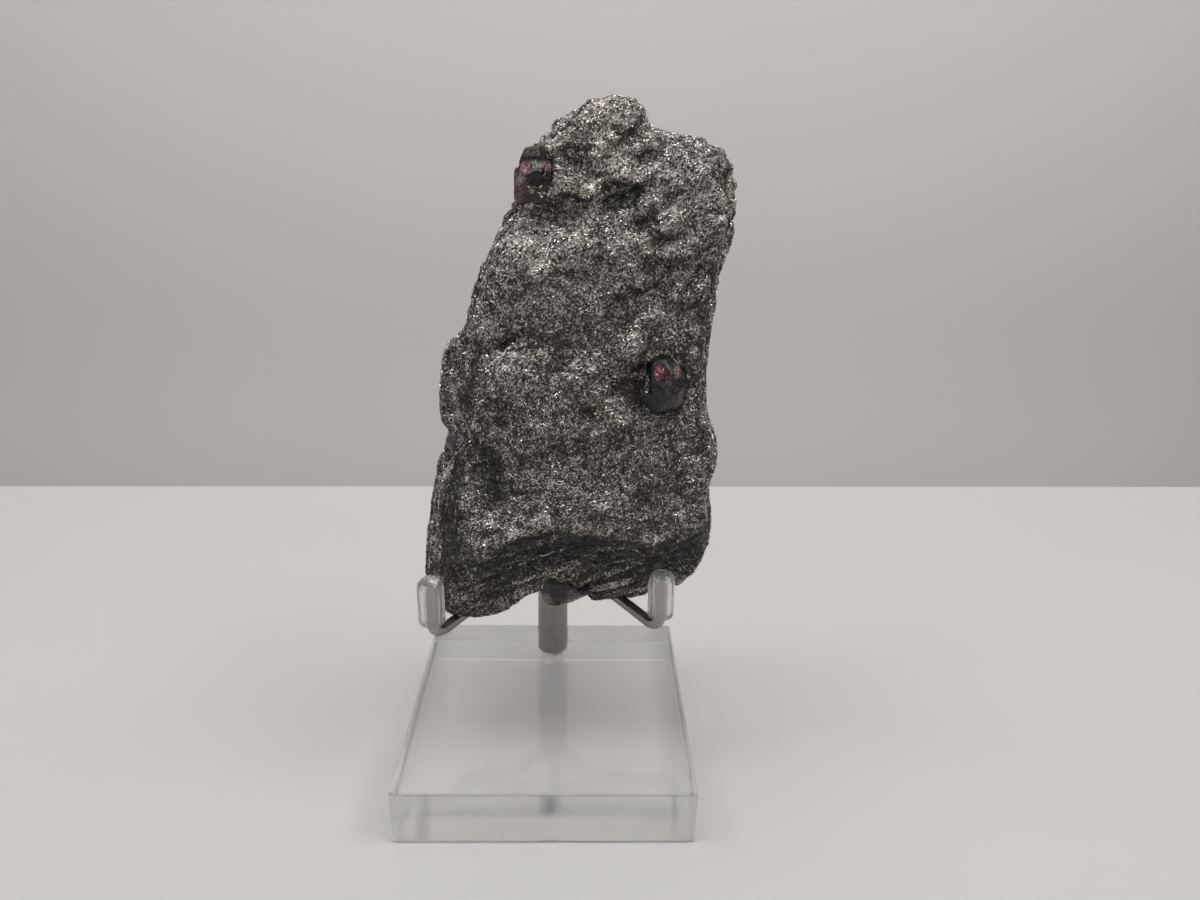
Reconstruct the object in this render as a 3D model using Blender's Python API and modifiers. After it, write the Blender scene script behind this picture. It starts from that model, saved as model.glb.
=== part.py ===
"""Garnet crystals in a lump of mica schist, standing on a clear acrylic stand with three padded prongs.

Metres, +Z up. The origin is under the middle of the acrylic base, and the front faces -Y.
"""

import itertools
import math

import bmesh
import bpy
from mathutils import Matrix, Quaternion, Vector, noise
from mathutils.bvhtree import BVHTree

# Room between pieces that touch or sit in each other.
GAP = 0.0003
# The Screw modifier joins only points closer than this.
MERGE = 0.00001

# Clear acrylic base.
BASE_SIDE = 0.080
BASE_HEIGHT = 0.016
BASE_BEVEL = 0.0008
STUD_RADIUS = 0.003
STUD_LENGTH = 0.0085

# Steel post, behind the stone.
POST_X = 0.0002
POST_Y = 0.026
POST_RADIUS = 0.00475
POST_TOP = 0.0575
POST_CHAMFER = 0.0006

# Steel prongs: two arms under the stone and one rod up its back.
ROD_RADIUS = 0.0016
# The arms dip a little on their way from the post to the upturned ends.
ARM_ROOT_HEIGHT = 0.0530
ARM_END_HEIGHT = 0.0502
ARM_LEFT_END = (-0.0298, -0.0199)
ARM_RIGHT_END = (0.03045, -0.0159)
# The arms start this far from the post's axis, so that they don't meet inside it.
ARM_START = 0.0034
ARM_BEND = 0.0042
BACK_SOCKET = 0.005
BACK_BEND = 0.008
BACK_BEND_HEIGHT = 0.066
BACK_TOP = 0.118
BACK_X = 0.003

# Clear vinyl tips on the prongs.
TIP_RADIUS = 0.0035
TIP_TOP = 0.0680
TIP_BOTTOM = 0.0547
TIP_CROWN = 0.0017

# The stone's own heights start at this level, and it lies on the tops of the arms.
STONE_LEVEL = 0.0525

# The stone's outline seen from the front: x at each height up its left and right sides,
# and height at each x along its bottom and top. The corners are shared.
LEFT_SIDE = (
    (0.0010, -0.0332), (0.0070, -0.0348), (0.0173, -0.0330), (0.0335, -0.0309),
    (0.0386, -0.0299), (0.0434, -0.0272), (0.0490, -0.0266), (0.0544, -0.0282),
    (0.0624, -0.0281), (0.0696, -0.0270), (0.0729, -0.0243), (0.0750, -0.0203),
    (0.0799, -0.0201), (0.0906, -0.0167), (0.1011, -0.0114), (0.1061, -0.0086),
    (0.1130, -0.0066), (0.1180, -0.0052),
)
RIGHT_SIDE = (
    (0.0020, 0.0412), (0.0090, 0.0444), (0.0179, 0.0452), (0.0356, 0.0436),
    (0.0393, 0.0444), (0.0441, 0.0456), (0.0505, 0.0432), (0.0544, 0.0414),
    (0.0659, 0.0411), (0.0827, 0.0426), (0.0907, 0.0430), (0.0988, 0.0461),
    (0.1076, 0.0460), (0.1140, 0.0454), (0.1175, 0.0444), (0.1197, 0.0424),
)
BOTTOM_SIDE = (
    (-0.0332, 0.0010), (-0.0270, -0.0016), (-0.0200, -0.0018), (-0.0150, 0.0000),
    (-0.0090, 0.0040), (-0.0030, 0.0068), (0.0060, 0.0040), (0.0110, 0.0008),
    (0.0165, -0.0022), (0.0210, -0.0014), (0.0290, 0.0010), (0.0361, 0.0008),
    (0.0412, 0.0020),
)
TOP_SIDE = (
    (-0.0052, 0.1180), (-0.0028, 0.1204), (0.0012, 0.1240), (0.0056, 0.1274),
    (0.0086, 0.1300), (0.0170, 0.1310), (0.0202, 0.1298), (0.0226, 0.1266),
    (0.0250, 0.1250), (0.0334, 0.1221), (0.0382, 0.1216), (0.0424, 0.1197),
)

# Front and back of the stone. The front leans back, and is cut under below a ridge.
FRONT_Y = -0.0185
FRONT_LEAN = 0.123
FRONT_TURN = 0.03
RIDGE = (
    (-0.0270, 0.0185), (-0.0170, 0.0215), (-0.0070, 0.0255), (0.0040, 0.0275),
    (0.0140, 0.0265), (0.0270, 0.0245), (0.0390, 0.0300),
)
RIDGE_ROUNDING = 0.002
UNDERCUT_SLOPE = 0.385
UNDERCUT_TURN = 7.3
UNDERCUT_MOST = 0.62
BACK_Y = 0.0183
BACK_MIDDLE = 0.055
BACK_CURVE = 1.05

# How far each side of the front and of the back face lies inside the outline.
FRONT_INSET_LEFT = ((0.0, 0.0080), (0.045, 0.0085), (0.050, 0.0100), (0.070, 0.0098), (0.077, 0.0034), (0.125, 0.0030))
FRONT_INSET_RIGHT = ((0.0, 0.0045), (0.040, 0.0040), (0.060, 0.0036), (0.125, 0.0046))
FRONT_INSET_TOP = 0.0034
FRONT_INSET_BOTTOM = 0.0004
BACK_INSET_SIDE = 0.0042
BACK_INSET_TOP = 0.0050
BACK_INSET_BOTTOM = 0.0060
# A lobe on the left stands back from the front face, between these heights.
LOBE_HEIGHTS = (0.050, 0.074)

STONE_CUTS = (23, 7, 39)

# Garnets: centre, size across, turns about X, then Y, then Z in degrees, and how far each pair of
# dodecahedron faces lies from the centre, as a share of half the size.
GARNETS = {
    "garnet_upper_left": ((-0.0026, -0.0034, 0.1656), 0.0104, (-6, 5, 38), (1.0, 0.97, 0.98, 1.03, 0.95, 1.02)),
    "garnet_right": ((0.0279, -0.0096, 0.1168), 0.0116, (6, -8, 52), (1.03, 0.97, 0.98, 0.93, 0.96, 0.94)),
    "garnet_bottom": ((0.0046, -0.0072, 0.0600), 0.0112, (45, 4, 20), (1.0, 1.02, 1.0, 0.96, 0.94, 0.97)),
    "garnet_left_side": ((-0.0244, -0.0034, 0.0992), 0.0044, (30, 12, 5), (1.0, 1.0, 0.9, 1.0, 1.1, 1.0)),
    "garnet_ridge": ((0.0268, -0.0166, 0.0750), 0.0026, (10, 40, 15), (1.0, 0.9, 1.0, 1.0, 1.0, 1.1)),
}
# The trapezohedron faces that bevel the dodecahedron's edges lie this far out, as a share of half the size.
BEVEL_FACES = 1.115

STONE_COLOUR = (0.075, 0.068, 0.060)
GARNET_COLOUR = (0.045, 0.008, 0.014)
STEEL_COLOUR = (0.42, 0.41, 0.39)
ACRYLIC_COLOUR = (0.93, 0.95, 0.95)
VINYL_COLOUR = (0.90, 0.91, 0.90)


# ---------------------------------------------------------------- helpers

def clear_scene():
    for obj in list(bpy.data.objects):
        bpy.data.objects.remove(obj, do_unlink=True)


def new_collection(name):
    collection = bpy.data.collections.new(name)
    bpy.context.scene.collection.children.link(collection)
    return collection


def principled(name, colour, roughness, metallic=0.0, transmission=0.0, ior=1.5):
    material = bpy.data.materials.new(name)
    material.use_nodes = True
    shader = material.node_tree.nodes["Principled BSDF"]
    shader.inputs["Base Color"].default_value = (*colour, 1.0)
    shader.inputs["Roughness"].default_value = roughness
    shader.inputs["Metallic"].default_value = metallic
    shader.inputs["Transmission Weight"].default_value = transmission
    shader.inputs["IOR"].default_value = ior
    return material


def object_from_bmesh(bm, name, collection, material=None):
    bmesh.ops.recalc_face_normals(bm, faces=bm.faces)
    mesh = bpy.data.meshes.new(name)
    bm.to_mesh(mesh)
    bm.free()
    obj = bpy.data.objects.new(name, mesh)
    collection.objects.link(obj)
    if material:
        mesh.materials.append(material)
    return obj


def smooth(obj, degrees=35):
    obj.data.shade_smooth()
    obj.data.set_sharp_from_angle(angle=math.radians(degrees))


def as_cutter(obj):
    obj.hide_render = True
    obj.display_type = "WIRE"
    return obj


def cut(obj, cutter):
    modifier = obj.modifiers.new("cut by " + cutter.name, "BOOLEAN")
    modifier.operation = "DIFFERENCE"
    modifier.object = cutter


def turned(name, profile, collection, material, steps=28):
    """A closed turned shape about Z, from (radius, height) points that run from the top to the bottom."""
    mesh = bpy.data.meshes.new(name)
    points = [(radius, 0.0, height) for radius, height in profile]
    mesh.from_pydata(points, [(i, i + 1) for i in range(len(points) - 1)], [])
    obj = bpy.data.objects.new(name, mesh)
    collection.objects.link(obj)
    if material:
        mesh.materials.append(material)
    screw = obj.modifiers.new("turn", "SCREW")
    screw.steps = steps
    screw.render_steps = steps
    screw.use_merge_vertices = True
    screw.merge_threshold = MERGE
    screw.use_smooth_shade = True
    return obj


def arc(centre, radius, start, end, count):
    """Points (radius, height) on an arc of a profile, from the start angle to the end angle in degrees."""
    angles = [math.radians(start + (end - start) * i / (count - 1)) for i in range(count)]
    return [(centre[0] + radius * math.cos(a), centre[1] + radius * math.sin(a)) for a in angles]


def rounded_path(corners, radius, count=7):
    """The points of a wire's centre line, with an arc of this radius at each inner corner."""
    path = [corners[0]]
    for before, corner, after in zip(corners, corners[1:], corners[2:]):
        towards = (before - corner).normalized()
        away = (after - corner).normalized()
        half = towards.angle(away) / 2
        reach = radius / math.tan(half)
        centre = corner + (towards + away).normalized() * (radius / math.sin(half))
        first = corner + towards * reach - centre
        last = corner + away * reach - centre
        turn = first.rotation_difference(last)
        for i in range(count):
            path.append(centre + Quaternion(turn.axis, turn.angle * i / (count - 1)) @ first)
    path.append(corners[-1])
    return path


def rod(name, path, collection, material):
    """A round rod along the path, as a mesh with welded caps."""
    curve = bpy.data.curves.new(name, "CURVE")
    curve.dimensions = "3D"
    curve.bevel_depth = ROD_RADIUS
    curve.bevel_resolution = 3
    curve.use_fill_caps = True
    spline = curve.splines.new("POLY")
    spline.points.add(len(path) - 1)
    for point, place in zip(spline.points, path):
        point.co = (*place, 1.0)
    guide = bpy.data.objects.new(name + " guide", curve)
    collection.objects.link(guide)
    graph = bpy.context.evaluated_depsgraph_get()
    mesh = bpy.data.meshes.new_from_object(guide.evaluated_get(graph))
    bm = bmesh.new()
    bm.from_mesh(mesh)
    bmesh.ops.remove_doubles(bm, verts=bm.verts, dist=MERGE)
    obj = object_from_bmesh(bm, name, collection, material)
    bpy.data.objects.remove(guide, do_unlink=True)
    smooth(obj, 50)
    return obj


def value_at(points, place):
    """The value at this place on a line through (place, value) points, level beyond its ends."""
    if place <= points[0][0]:
        return points[0][1]
    for (start, low), (end, high) in zip(points, points[1:]):
        if place <= end:
            return low + (high - low) * (place - start) / (end - start)
    return points[-1][1]


def mix(low, high, share):
    return low + (high - low) * share


def step_between(low, high, value):
    share = min(max((value - low) / (high - low), 0.0), 1.0)
    return share * share * (3 - 2 * share)


def arm_top(y):
    """Height of the top of the arms, where the stone lies."""
    end_y = (ARM_LEFT_END[1] + ARM_RIGHT_END[1]) / 2
    return mix(ARM_END_HEIGHT, ARM_ROOT_HEIGHT, (y - end_y) / (POST_Y - end_y)) + ROD_RADIUS


# ---------------------------------------------------------------- stone

# Lumps (height > 0) and hollows (height < 0) of the front: x, height on the stone, half length,
# half width, slant in degrees, how far it stands out.
FRONT_FORMS = (
    # overhung recess below the upper left garnet, and its run to the right
    (-0.0015, 0.1040, 0.0075, 0.0034, 14, -0.0036),
    (0.0160, 0.1080, 0.0060, 0.0022, 16, -0.0020),
    # diagonal groove down from the right edge, the swell above it and the dip below it
    (0.0310, 0.0905, 0.0140, 0.0024, 30, -0.0032),
    (0.0185, 0.0820, 0.0060, 0.0026, 48, -0.0020),
    (0.0290, 0.1005, 0.0110, 0.0060, 26, 0.0022),
    (0.0310, 0.0815, 0.0090, 0.0050, 10, -0.0010),
    # hollow on the left, and the hollow that holds the right garnet
    (-0.0161, 0.0464, 0.0052, 0.0032, 75, -0.0022),
    (0.0265, 0.0655, 0.0085, 0.0070, 70, -0.0020),
    # step that runs up to the right across the middle, lit below and dark above
    (-0.0075, 0.0765, 0.0070, 0.0022, 46, -0.0016),
    (-0.0070, 0.0690, 0.0075, 0.0040, 34, 0.0013),
    # lumps
    (0.0205, 0.0735, 0.0040, 0.0028, 70, 0.0015),
    (-0.0020, 0.0335, 0.0075, 0.0045, 0, 0.0012),
    (0.0155, 0.0355, 0.0080, 0.0045, -6, 0.0010),
    (0.0010, 0.1215, 0.0050, 0.0042, 30, 0.0014),
    (0.0140, 0.1255, 0.0060, 0.0036, 10, 0.0010),
    (0.0195, 0.1135, 0.0040, 0.0032, 20, 0.0016),
    (0.0360, 0.1135, 0.0060, 0.0048, 60, 0.0016),
    (0.0175, 0.1000, 0.0048, 0.0034, 20, 0.0013),
    (0.0060, 0.1115, 0.0045, 0.0030, 10, 0.0014),
    (0.0050, 0.0960, 0.0060, 0.0040, 20, 0.0012),
    (-0.0090, 0.0890, 0.0060, 0.0045, 60, 0.0010),
    (0.0270, 0.1180, 0.0040, 0.0030, 0, -0.0012),
    (0.0090, 0.0850, 0.0060, 0.0040, 30, 0.0008),
)
# The same for the back: slabs have split off along the layers and left broad, stepped hollows.
BACK_FORMS = (
    (0.0220, 0.0980, 0.0240, 0.0130, 62, -0.0042),
    (-0.0140, 0.0300, 0.0190, 0.0120, -30, -0.0034),
    (0.0020, 0.0640, 0.0170, 0.0110, 40, 0.0018),
    (0.0290, 0.0400, 0.0140, 0.0080, 75, 0.0016),
    (0.0100, 0.0160, 0.0160, 0.0060, 5, -0.0024),
    (0.0050, 0.1150, 0.0090, 0.0060, 20, 0.0014),
    (-0.0160, 0.0650, 0.0090, 0.0050, 80, -0.0016),
)


def front_y(x, height):
    """Depth of the front face: it leans back going up, and is cut under below the ridge."""
    ridge = value_at(RIDGE, x)
    below = ridge - height
    below = (below + math.hypot(below, RIDGE_ROUNDING)) / 2
    slope = min(UNDERCUT_SLOPE + UNDERCUT_TURN * x, UNDERCUT_MOST)
    return FRONT_Y + FRONT_LEAN * (height - ridge + below) + FRONT_TURN * x + slope * below


def back_y(height):
    return BACK_Y - BACK_CURVE * (height - BACK_MIDDLE) ** 2


def outline_point(across, up):
    """The place (x, height) inside the outline at these shares of its width and height."""
    heights_left = mix(LEFT_SIDE[0][0], LEFT_SIDE[-1][0], up)
    heights_right = mix(RIGHT_SIDE[0][0], RIGHT_SIDE[-1][0], up)
    left = Vector((value_at(LEFT_SIDE, heights_left), heights_left))
    right = Vector((value_at(RIGHT_SIDE, heights_right), heights_right))
    x_bottom = mix(BOTTOM_SIDE[0][0], BOTTOM_SIDE[-1][0], across)
    x_top = mix(TOP_SIDE[0][0], TOP_SIDE[-1][0], across)
    bottom = Vector((x_bottom, value_at(BOTTOM_SIDE, x_bottom)))
    top = Vector((x_top, value_at(TOP_SIDE, x_top)))
    corners_low = Vector(BOTTOM_SIDE[0]).lerp(Vector(BOTTOM_SIDE[-1]), across)
    corners_high = Vector(TOP_SIDE[0]).lerp(Vector(TOP_SIDE[-1]), across)
    return left.lerp(right, across) + bottom.lerp(top, up) - corners_low.lerp(corners_high, up)


def inset_shares(depth, height):
    """How much of the front and of the back inset holds at this depth, -1 at the front and 1 at the back."""
    slanting = max(-depth, 0.0) ** 1.3
    stepped = 1.0 - step_between(-0.62, -0.18, depth)
    low, high = LOBE_HEIGHTS
    lobe = step_between(low - 0.004, low, height) * (1.0 - step_between(high, high + 0.003, height))
    return mix(slanting, stepped, lobe), slanting, max(depth, 0.0) ** 1.6


def stone_point(across, depth, up):
    """A point of the stone's skin, from shares of its width (0 to 1), depth (-1 to 1) and height (0 to 1)."""
    x, height = outline_point(across, up)
    front_left, front, back = inset_shares(depth, height)
    x += (1 - across) ** 4 * (front_left * value_at(FRONT_INSET_LEFT, height) + back * BACK_INSET_SIDE)
    x -= across ** 4 * (front * value_at(FRONT_INSET_RIGHT, height) + back * BACK_INSET_SIDE)
    height -= up ** 8 * (front * FRONT_INSET_TOP + back * BACK_INSET_TOP)
    height += (1 - up) ** 8 * (front * FRONT_INSET_BOTTOM + back * BACK_INSET_BOTTOM)
    return Vector((x, mix(front_y(x, height), back_y(height), (depth + 1) / 2), height))


def form_height(forms, x, height):
    """The summed height of the lumps and hollows at this place."""
    total = 0.0
    for form_x, form_height_, half_length, half_width, slant, rise in forms:
        angle = math.radians(slant)
        dx = x - form_x
        dz = height - form_height_
        along = (dx * math.cos(angle) + dz * math.sin(angle)) / half_length
        across = (dz * math.cos(angle) - dx * math.sin(angle)) / half_width
        total += rise * math.exp(-(along * along + across * across))
    return total


def roughness_height(point):
    """Uneven ground: broad swells, knobs that grow stronger towards the top, and layers seen edge-on."""
    x, y, z = point
    swell = 0.0011 * noise.noise(Vector((x, y, z)) / 0.021 + Vector((3.1, 0.0, 0.0)))
    knobs = noise.noise(Vector((x, y, z)) / 0.0085 + Vector((0.0, 7.7, 0.0)))
    knob_size = mix(0.0005, 0.0013, step_between(0.060, 0.105, z))
    layers = 0.0007 * noise.noise(Vector((x / 0.030, y / 0.0042, z / 0.030)))
    return swell + knob_size * knobs, layers


def stone_mesh():
    bm = bmesh.new()
    bmesh.ops.create_cube(bm, size=2.0)
    for axis, cuts in enumerate(STONE_CUTS):
        edges = [e for e in bm.edges if abs(e.verts[0].co[axis] - e.verts[1].co[axis]) > 1.0]
        bmesh.ops.subdivide_edges(bm, edges=edges, cuts=cuts, use_grid_fill=True)
    for vert in bm.verts:
        across, depth, up = vert.co
        vert.co = stone_point((across + 1) / 2, depth, (up + 1) / 2)
    bm.normal_update()
    moves = {}
    for vert in bm.verts:
        x, y, height = vert.co
        facing_front = max(-vert.normal.y, 0.0)
        facing_back = max(vert.normal.y, 0.0)
        uneven, layers = roughness_height(vert.co)
        facing_side = 1.0 - abs(vert.normal.y)
        rise = uneven * (1.0 - 0.6 * facing_side) + layers * facing_side
        rise += facing_front * form_height(FRONT_FORMS, x, height)
        rise += facing_back * form_height(BACK_FORMS, x, height)
        moves[vert] = vert.normal * rise
    for vert, move in moves.items():
        vert.co += move
        vert.co.z = max(vert.co.z + STONE_LEVEL, arm_top(vert.co.y) + GAP)
    bmesh.ops.triangulate(bm, faces=bm.faces)
    return bm


def make_stone(collection, material):
    stone = object_from_bmesh(stone_mesh(), "matrix", collection, material)
    smooth(stone, 32)
    return stone


# ---------------------------------------------------------------- garnets

def crystal_planes(distances):
    """Normals and distances of a rhombic dodecahedron's faces, then of the trapezohedron's that bevel its edges."""
    planes = []
    pairs = [(a, b, sign) for a, b in ((0, 1), (0, 2), (1, 2)) for sign in (1, -1)]
    for (first, second, sign), distance in zip(pairs, distances):
        normal = Vector((0.0, 0.0, 0.0))
        normal[first] = 1.0
        normal[second] = sign
        planes += [(normal.normalized(), distance), (-normal.normalized(), distance)]
    for longest in range(3):
        for signs in itertools.product((1, -1), repeat=3):
            normal = Vector(signs)
            normal[longest] *= 2
            planes.append((normal.normalized(), BEVEL_FACES))
    return planes


def garnet_mesh(size, distances, margin=0.0):
    """A garnet crystal, cut from a cube plane by plane."""
    bm = bmesh.new()
    bmesh.ops.create_cube(bm, size=3 * size)
    for normal, distance in crystal_planes(distances):
        geometry = bm.verts[:] + bm.edges[:] + bm.faces[:]
        reach = distance * size / 2 + margin
        bmesh.ops.bisect_plane(bm, geom=geometry, plane_co=normal * reach, plane_no=normal, clear_outer=True)
        bmesh.ops.holes_fill(bm, edges=[edge for edge in bm.edges if edge.is_boundary])
    return bm


def make_garnet(name, collection, cutters, material, stone):
    centre, size, turns, distances = GARNETS[name]
    placing = Matrix.Translation(centre)
    for angle, axis in zip(reversed(turns), "ZYX"):
        placing = placing @ Matrix.Rotation(math.radians(angle), 4, axis)
    garnet = object_from_bmesh(garnet_mesh(size, distances), name, collection, material)
    garnet.matrix_world = placing
    socket = object_from_bmesh(garnet_mesh(size, distances, GAP), name + " socket", cutters)
    socket.matrix_world = placing
    cut(stone, as_cutter(socket))
    return garnet


# ---------------------------------------------------------------- stand

def make_base(collection, cutters, material):
    bm = bmesh.new()
    bmesh.ops.create_cube(bm, size=1.0)
    bmesh.ops.scale(bm, vec=(BASE_SIDE, BASE_SIDE, BASE_HEIGHT), verts=bm.verts)
    bmesh.ops.translate(bm, vec=(0, 0, BASE_HEIGHT / 2), verts=bm.verts)
    base = object_from_bmesh(bm, "base", collection, material)
    bevel = base.modifiers.new("polished edges", "BEVEL")
    bevel.width = BASE_BEVEL
    bevel.segments = 2
    radius = STUD_RADIUS + GAP
    bottom = BASE_HEIGHT - STUD_LENGTH - 2 * GAP
    profile = [(0, BASE_HEIGHT + 0.002), (radius, BASE_HEIGHT + 0.002), (radius, bottom), (0, bottom)]
    hole = turned("stud hole", profile, cutters, None)
    hole.location = (POST_X, POST_Y, 0)
    cut(base, as_cutter(hole))
    return base


def make_post(collection, cutters, material):
    foot = BASE_HEIGHT + GAP
    radius, chamfer = POST_RADIUS, POST_CHAMFER
    profile = [(0, POST_TOP), (radius - chamfer, POST_TOP), (radius, POST_TOP - chamfer)]
    profile += [(radius, foot + chamfer), (radius - chamfer, foot), (STUD_RADIUS, foot)]
    profile += [(STUD_RADIUS, foot - STUD_LENGTH), (0, foot - STUD_LENGTH)]
    post = turned("post", profile, collection, material)
    post.location = (POST_X, POST_Y, 0)
    bore = ROD_RADIUS + GAP
    for name, (end_x, end_y) in (("left", ARM_LEFT_END), ("right", ARM_RIGHT_END)):
        profile = [(0, 2 * POST_RADIUS), (bore, 2 * POST_RADIUS), (bore, ARM_START - GAP), (0, ARM_START - GAP)]
        socket = turned(name + " arm socket", profile, cutters, None, steps=20)
        towards = Vector((end_x - POST_X, end_y - POST_Y, ARM_END_HEIGHT - ARM_ROOT_HEIGHT))
        socket.rotation_euler = towards.to_track_quat("Z", "Y").to_euler()
        socket.location = (POST_X, POST_Y, ARM_ROOT_HEIGHT)
        cut(post, as_cutter(socket))
    bottom = POST_TOP - BACK_SOCKET - GAP
    profile = [(0, POST_TOP + 0.002), (bore, POST_TOP + 0.002), (bore, bottom), (0, bottom)]
    socket = turned("back rod socket", profile, cutters, None, steps=20)
    socket.location = (POST_X, POST_Y, 0)
    cut(post, as_cutter(socket))
    return post


def make_arm(name, end, collection, material):
    axis = Vector((POST_X, POST_Y, ARM_ROOT_HEIGHT))
    elbow = Vector((*end, ARM_END_HEIGHT))
    start = axis + (elbow - axis).normalized() * ARM_START
    top = Vector((*end, TIP_TOP - TIP_CROWN - GAP))
    return rod(name, rounded_path([start, elbow, top], ARM_BEND), collection, material)


def tip_profile(top, bottom):
    """A vinyl cap with a round top, bored from below for the rod."""
    bore = ROD_RADIUS + GAP
    round_top = TIP_RADIUS * 0.85
    shoulder = TIP_RADIUS - round_top
    profile = [(0, top)] + arc((shoulder, top - round_top), round_top, 86, 0, 7)
    profile += arc((TIP_RADIUS - 0.0005, bottom + 0.0005), 0.0005, 0, -90, 3)
    profile += [(bore, bottom), (bore, top - TIP_CROWN), (0, top - TIP_CROWN)]
    return profile


def make_tip(name, place, collection, material):
    tip = turned(name, tip_profile(TIP_TOP, TIP_BOTTOM), collection, material, steps=20)
    tip.location = (*place, 0)
    return tip


def make_back_support(stone, collection, steel, vinyl):
    """A rod that leans from the post to the stone's back, and its tip, set against the stone."""
    graph = bpy.context.evaluated_depsgraph_get()
    tree = BVHTree.FromObject(stone, graph)
    reach = TIP_RADIUS * 2
    hits = []
    for step in range(-6, 7):
        for side in (-0.6, 0.0, 0.6):
            start = Vector((BACK_X + side * TIP_RADIUS, 0.1, BACK_TOP - reach + step * reach / 6))
            hits.append(tree.ray_cast(start, Vector((0, -1, 0)))[0].y)
    top = Vector((BACK_X, max(hits) + GAP + TIP_RADIUS, BACK_TOP))
    bend = Vector((POST_X, POST_Y, BACK_BEND_HEIGHT))
    lean = (top - bend).normalized()
    rod_top = top - lean * (TIP_CROWN + GAP)
    start = Vector((POST_X, POST_Y, POST_TOP - BACK_SOCKET))
    rod("back_rod", rounded_path([start, bend, rod_top], BACK_BEND, 5), collection, steel)
    length = TIP_TOP - TIP_BOTTOM
    tip = turned("tip_back", tip_profile(0, -length), collection, vinyl, steps=20)
    tip.rotation_euler = lean.to_track_quat("Z", "Y").to_euler()
    tip.location = top


def main():
    clear_scene()
    parts = new_collection("garnet_in_matrix")
    cutters = new_collection("cutters")
    schist = principled("mica schist", STONE_COLOUR, 0.7)
    garnet = principled("garnet", GARNET_COLOUR, 0.15)
    steel = principled("brushed steel", STEEL_COLOUR, 0.35, metallic=1.0)
    acrylic = principled("clear acrylic", ACRYLIC_COLOUR, 0.03, transmission=1.0, ior=1.49)
    vinyl = principled("clear vinyl", VINYL_COLOUR, 0.12, transmission=1.0, ior=1.46)

    stone = make_stone(parts, schist)
    for name in GARNETS:
        make_garnet(name, parts, cutters, garnet, stone)
    make_base(parts, cutters, acrylic)
    make_post(parts, cutters, steel)
    make_arm("arm_left", ARM_LEFT_END, parts, steel)
    make_arm("arm_right", ARM_RIGHT_END, parts, steel)
    make_tip("tip_left", ARM_LEFT_END, parts, vinyl)
    make_tip("tip_right", ARM_RIGHT_END, parts, vinyl)
    make_back_support(stone, parts, steel, vinyl)


main()
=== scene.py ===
"""Garnets in a lump of mica schist on a clear acrylic stand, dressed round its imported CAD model.

Metres, +Z up, the front faces -Y, as in the CAD model.
"""

import math

import bmesh
import bpy
import numpy as np
from mathutils import Matrix, Vector


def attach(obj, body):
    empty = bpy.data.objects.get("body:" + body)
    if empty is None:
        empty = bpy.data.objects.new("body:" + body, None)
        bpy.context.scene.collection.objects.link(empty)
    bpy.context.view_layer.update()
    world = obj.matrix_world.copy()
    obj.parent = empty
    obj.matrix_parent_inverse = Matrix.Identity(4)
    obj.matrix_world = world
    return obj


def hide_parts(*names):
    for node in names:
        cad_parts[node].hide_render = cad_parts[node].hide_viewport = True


MM = 0.001

# Camera, where the photograph's stood.
CAMERA_PLACE = Vector((0.00862, -0.21533, 0.17899))
CAMERA_PITCH, CAMERA_YAW, CAMERA_ROLL = (math.radians(a) for a in (21.099, 1.396, -1.043))
CAMERA_LENS = 25.84
CAMERA_SENSOR = 36.0

# Table and wall. The table is a hair below the base, so that air lies between them.
TABLE_TOP = -0.0003
TABLE_FRONT, TABLE_BACK = -0.9, 0.2056
TABLE_HALF_WIDTH, TABLE_THICK = 1.6, 0.10
TABLE_TURN = math.radians(1.13)
TABLE_ROUNDING, ROUNDING_STEPS = 0.012, 8
TABLE_COLOUR = (0.685, 0.675, 0.667)
WALL_BACK = 0.62
WALL_HALF_WIDTH = 3.0
WALL_BOTTOM, WALL_TOP = -1.2, 2.0
WALL_COLOUR = (0.78, 0.75, 0.715)
STAGE_UNEVENNESS = 0.015

# Lamps: name, place, what it is aimed at, length and width, power and colour.
STAND_MIDDLE = (0.0, 0.0, 0.08)
LAMPS = (
    ("front_lamp", (0.0, -0.16, 1.03), STAND_MIDDLE, (0.70, 0.12), 2.0, (1.0, 0.985, 0.96)),
    ("back_lamp", (0.0, 0.22, 1.03), STAND_MIDDLE, (0.70, 0.12), 1.3, (1.0, 0.99, 0.97)),
    ("right_lamp", (0.60, -0.15, 0.90), STAND_MIDDLE, (0.50, 0.30), 2.2, (1.0, 0.985, 0.965)),
    ("left_lamp", (-0.58, -0.10, 0.94), STAND_MIDDLE, (0.50, 0.30), 1.7, (0.975, 0.985, 1.0)),
    ("wall_lamp", (0.0, 0.15, 0.36), (0.0, WALL_BACK, 0.36), (1.6, 0.12), 0.42, (1.0, 0.965, 0.925)),
    ("low_wall_lamp", (0.0, 0.40, -0.25), (0.0, WALL_BACK, 0.15), (1.6, 0.10), 0.60, (0.99, 0.995, 1.0)),
)
# The dim room: which way is lightest, and its shades away from there and towards it.
ROOM_LIGHTEST = (0.0, -0.28, 0.96)
ROOM_SHADES = ((0.45, (0.06, 0.06, 0.06)), (0.95, (0.42, 0.415, 0.41)))

# The stone's skin, and how far it is kept off the arms.
SKIN_VOXEL = 0.00064
SKIN_SMOOTHING = 12
ARM_GAP = 0.0001
# Its mica layers lie nearly upright, along the front.
LAYER_RISE = 0.123
LAYER_NORMAL = np.array(Vector((0.03, -1.0, LAYER_RISE)).normalized())
# A normal's share along LAYER_NORMAL where the skin cuts fully across the layers, and where it follows them.
EDGE_ON = (0.66, 0.97)
# The layers' lines there: width and length, rise in millimetres, seed.
LAYER_LINES = ((0.0012, 0.018, 0.38, 60), (0.0028, 0.026, 0.46, 61), (0.0006, 0.007, 0.16, 62))
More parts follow.
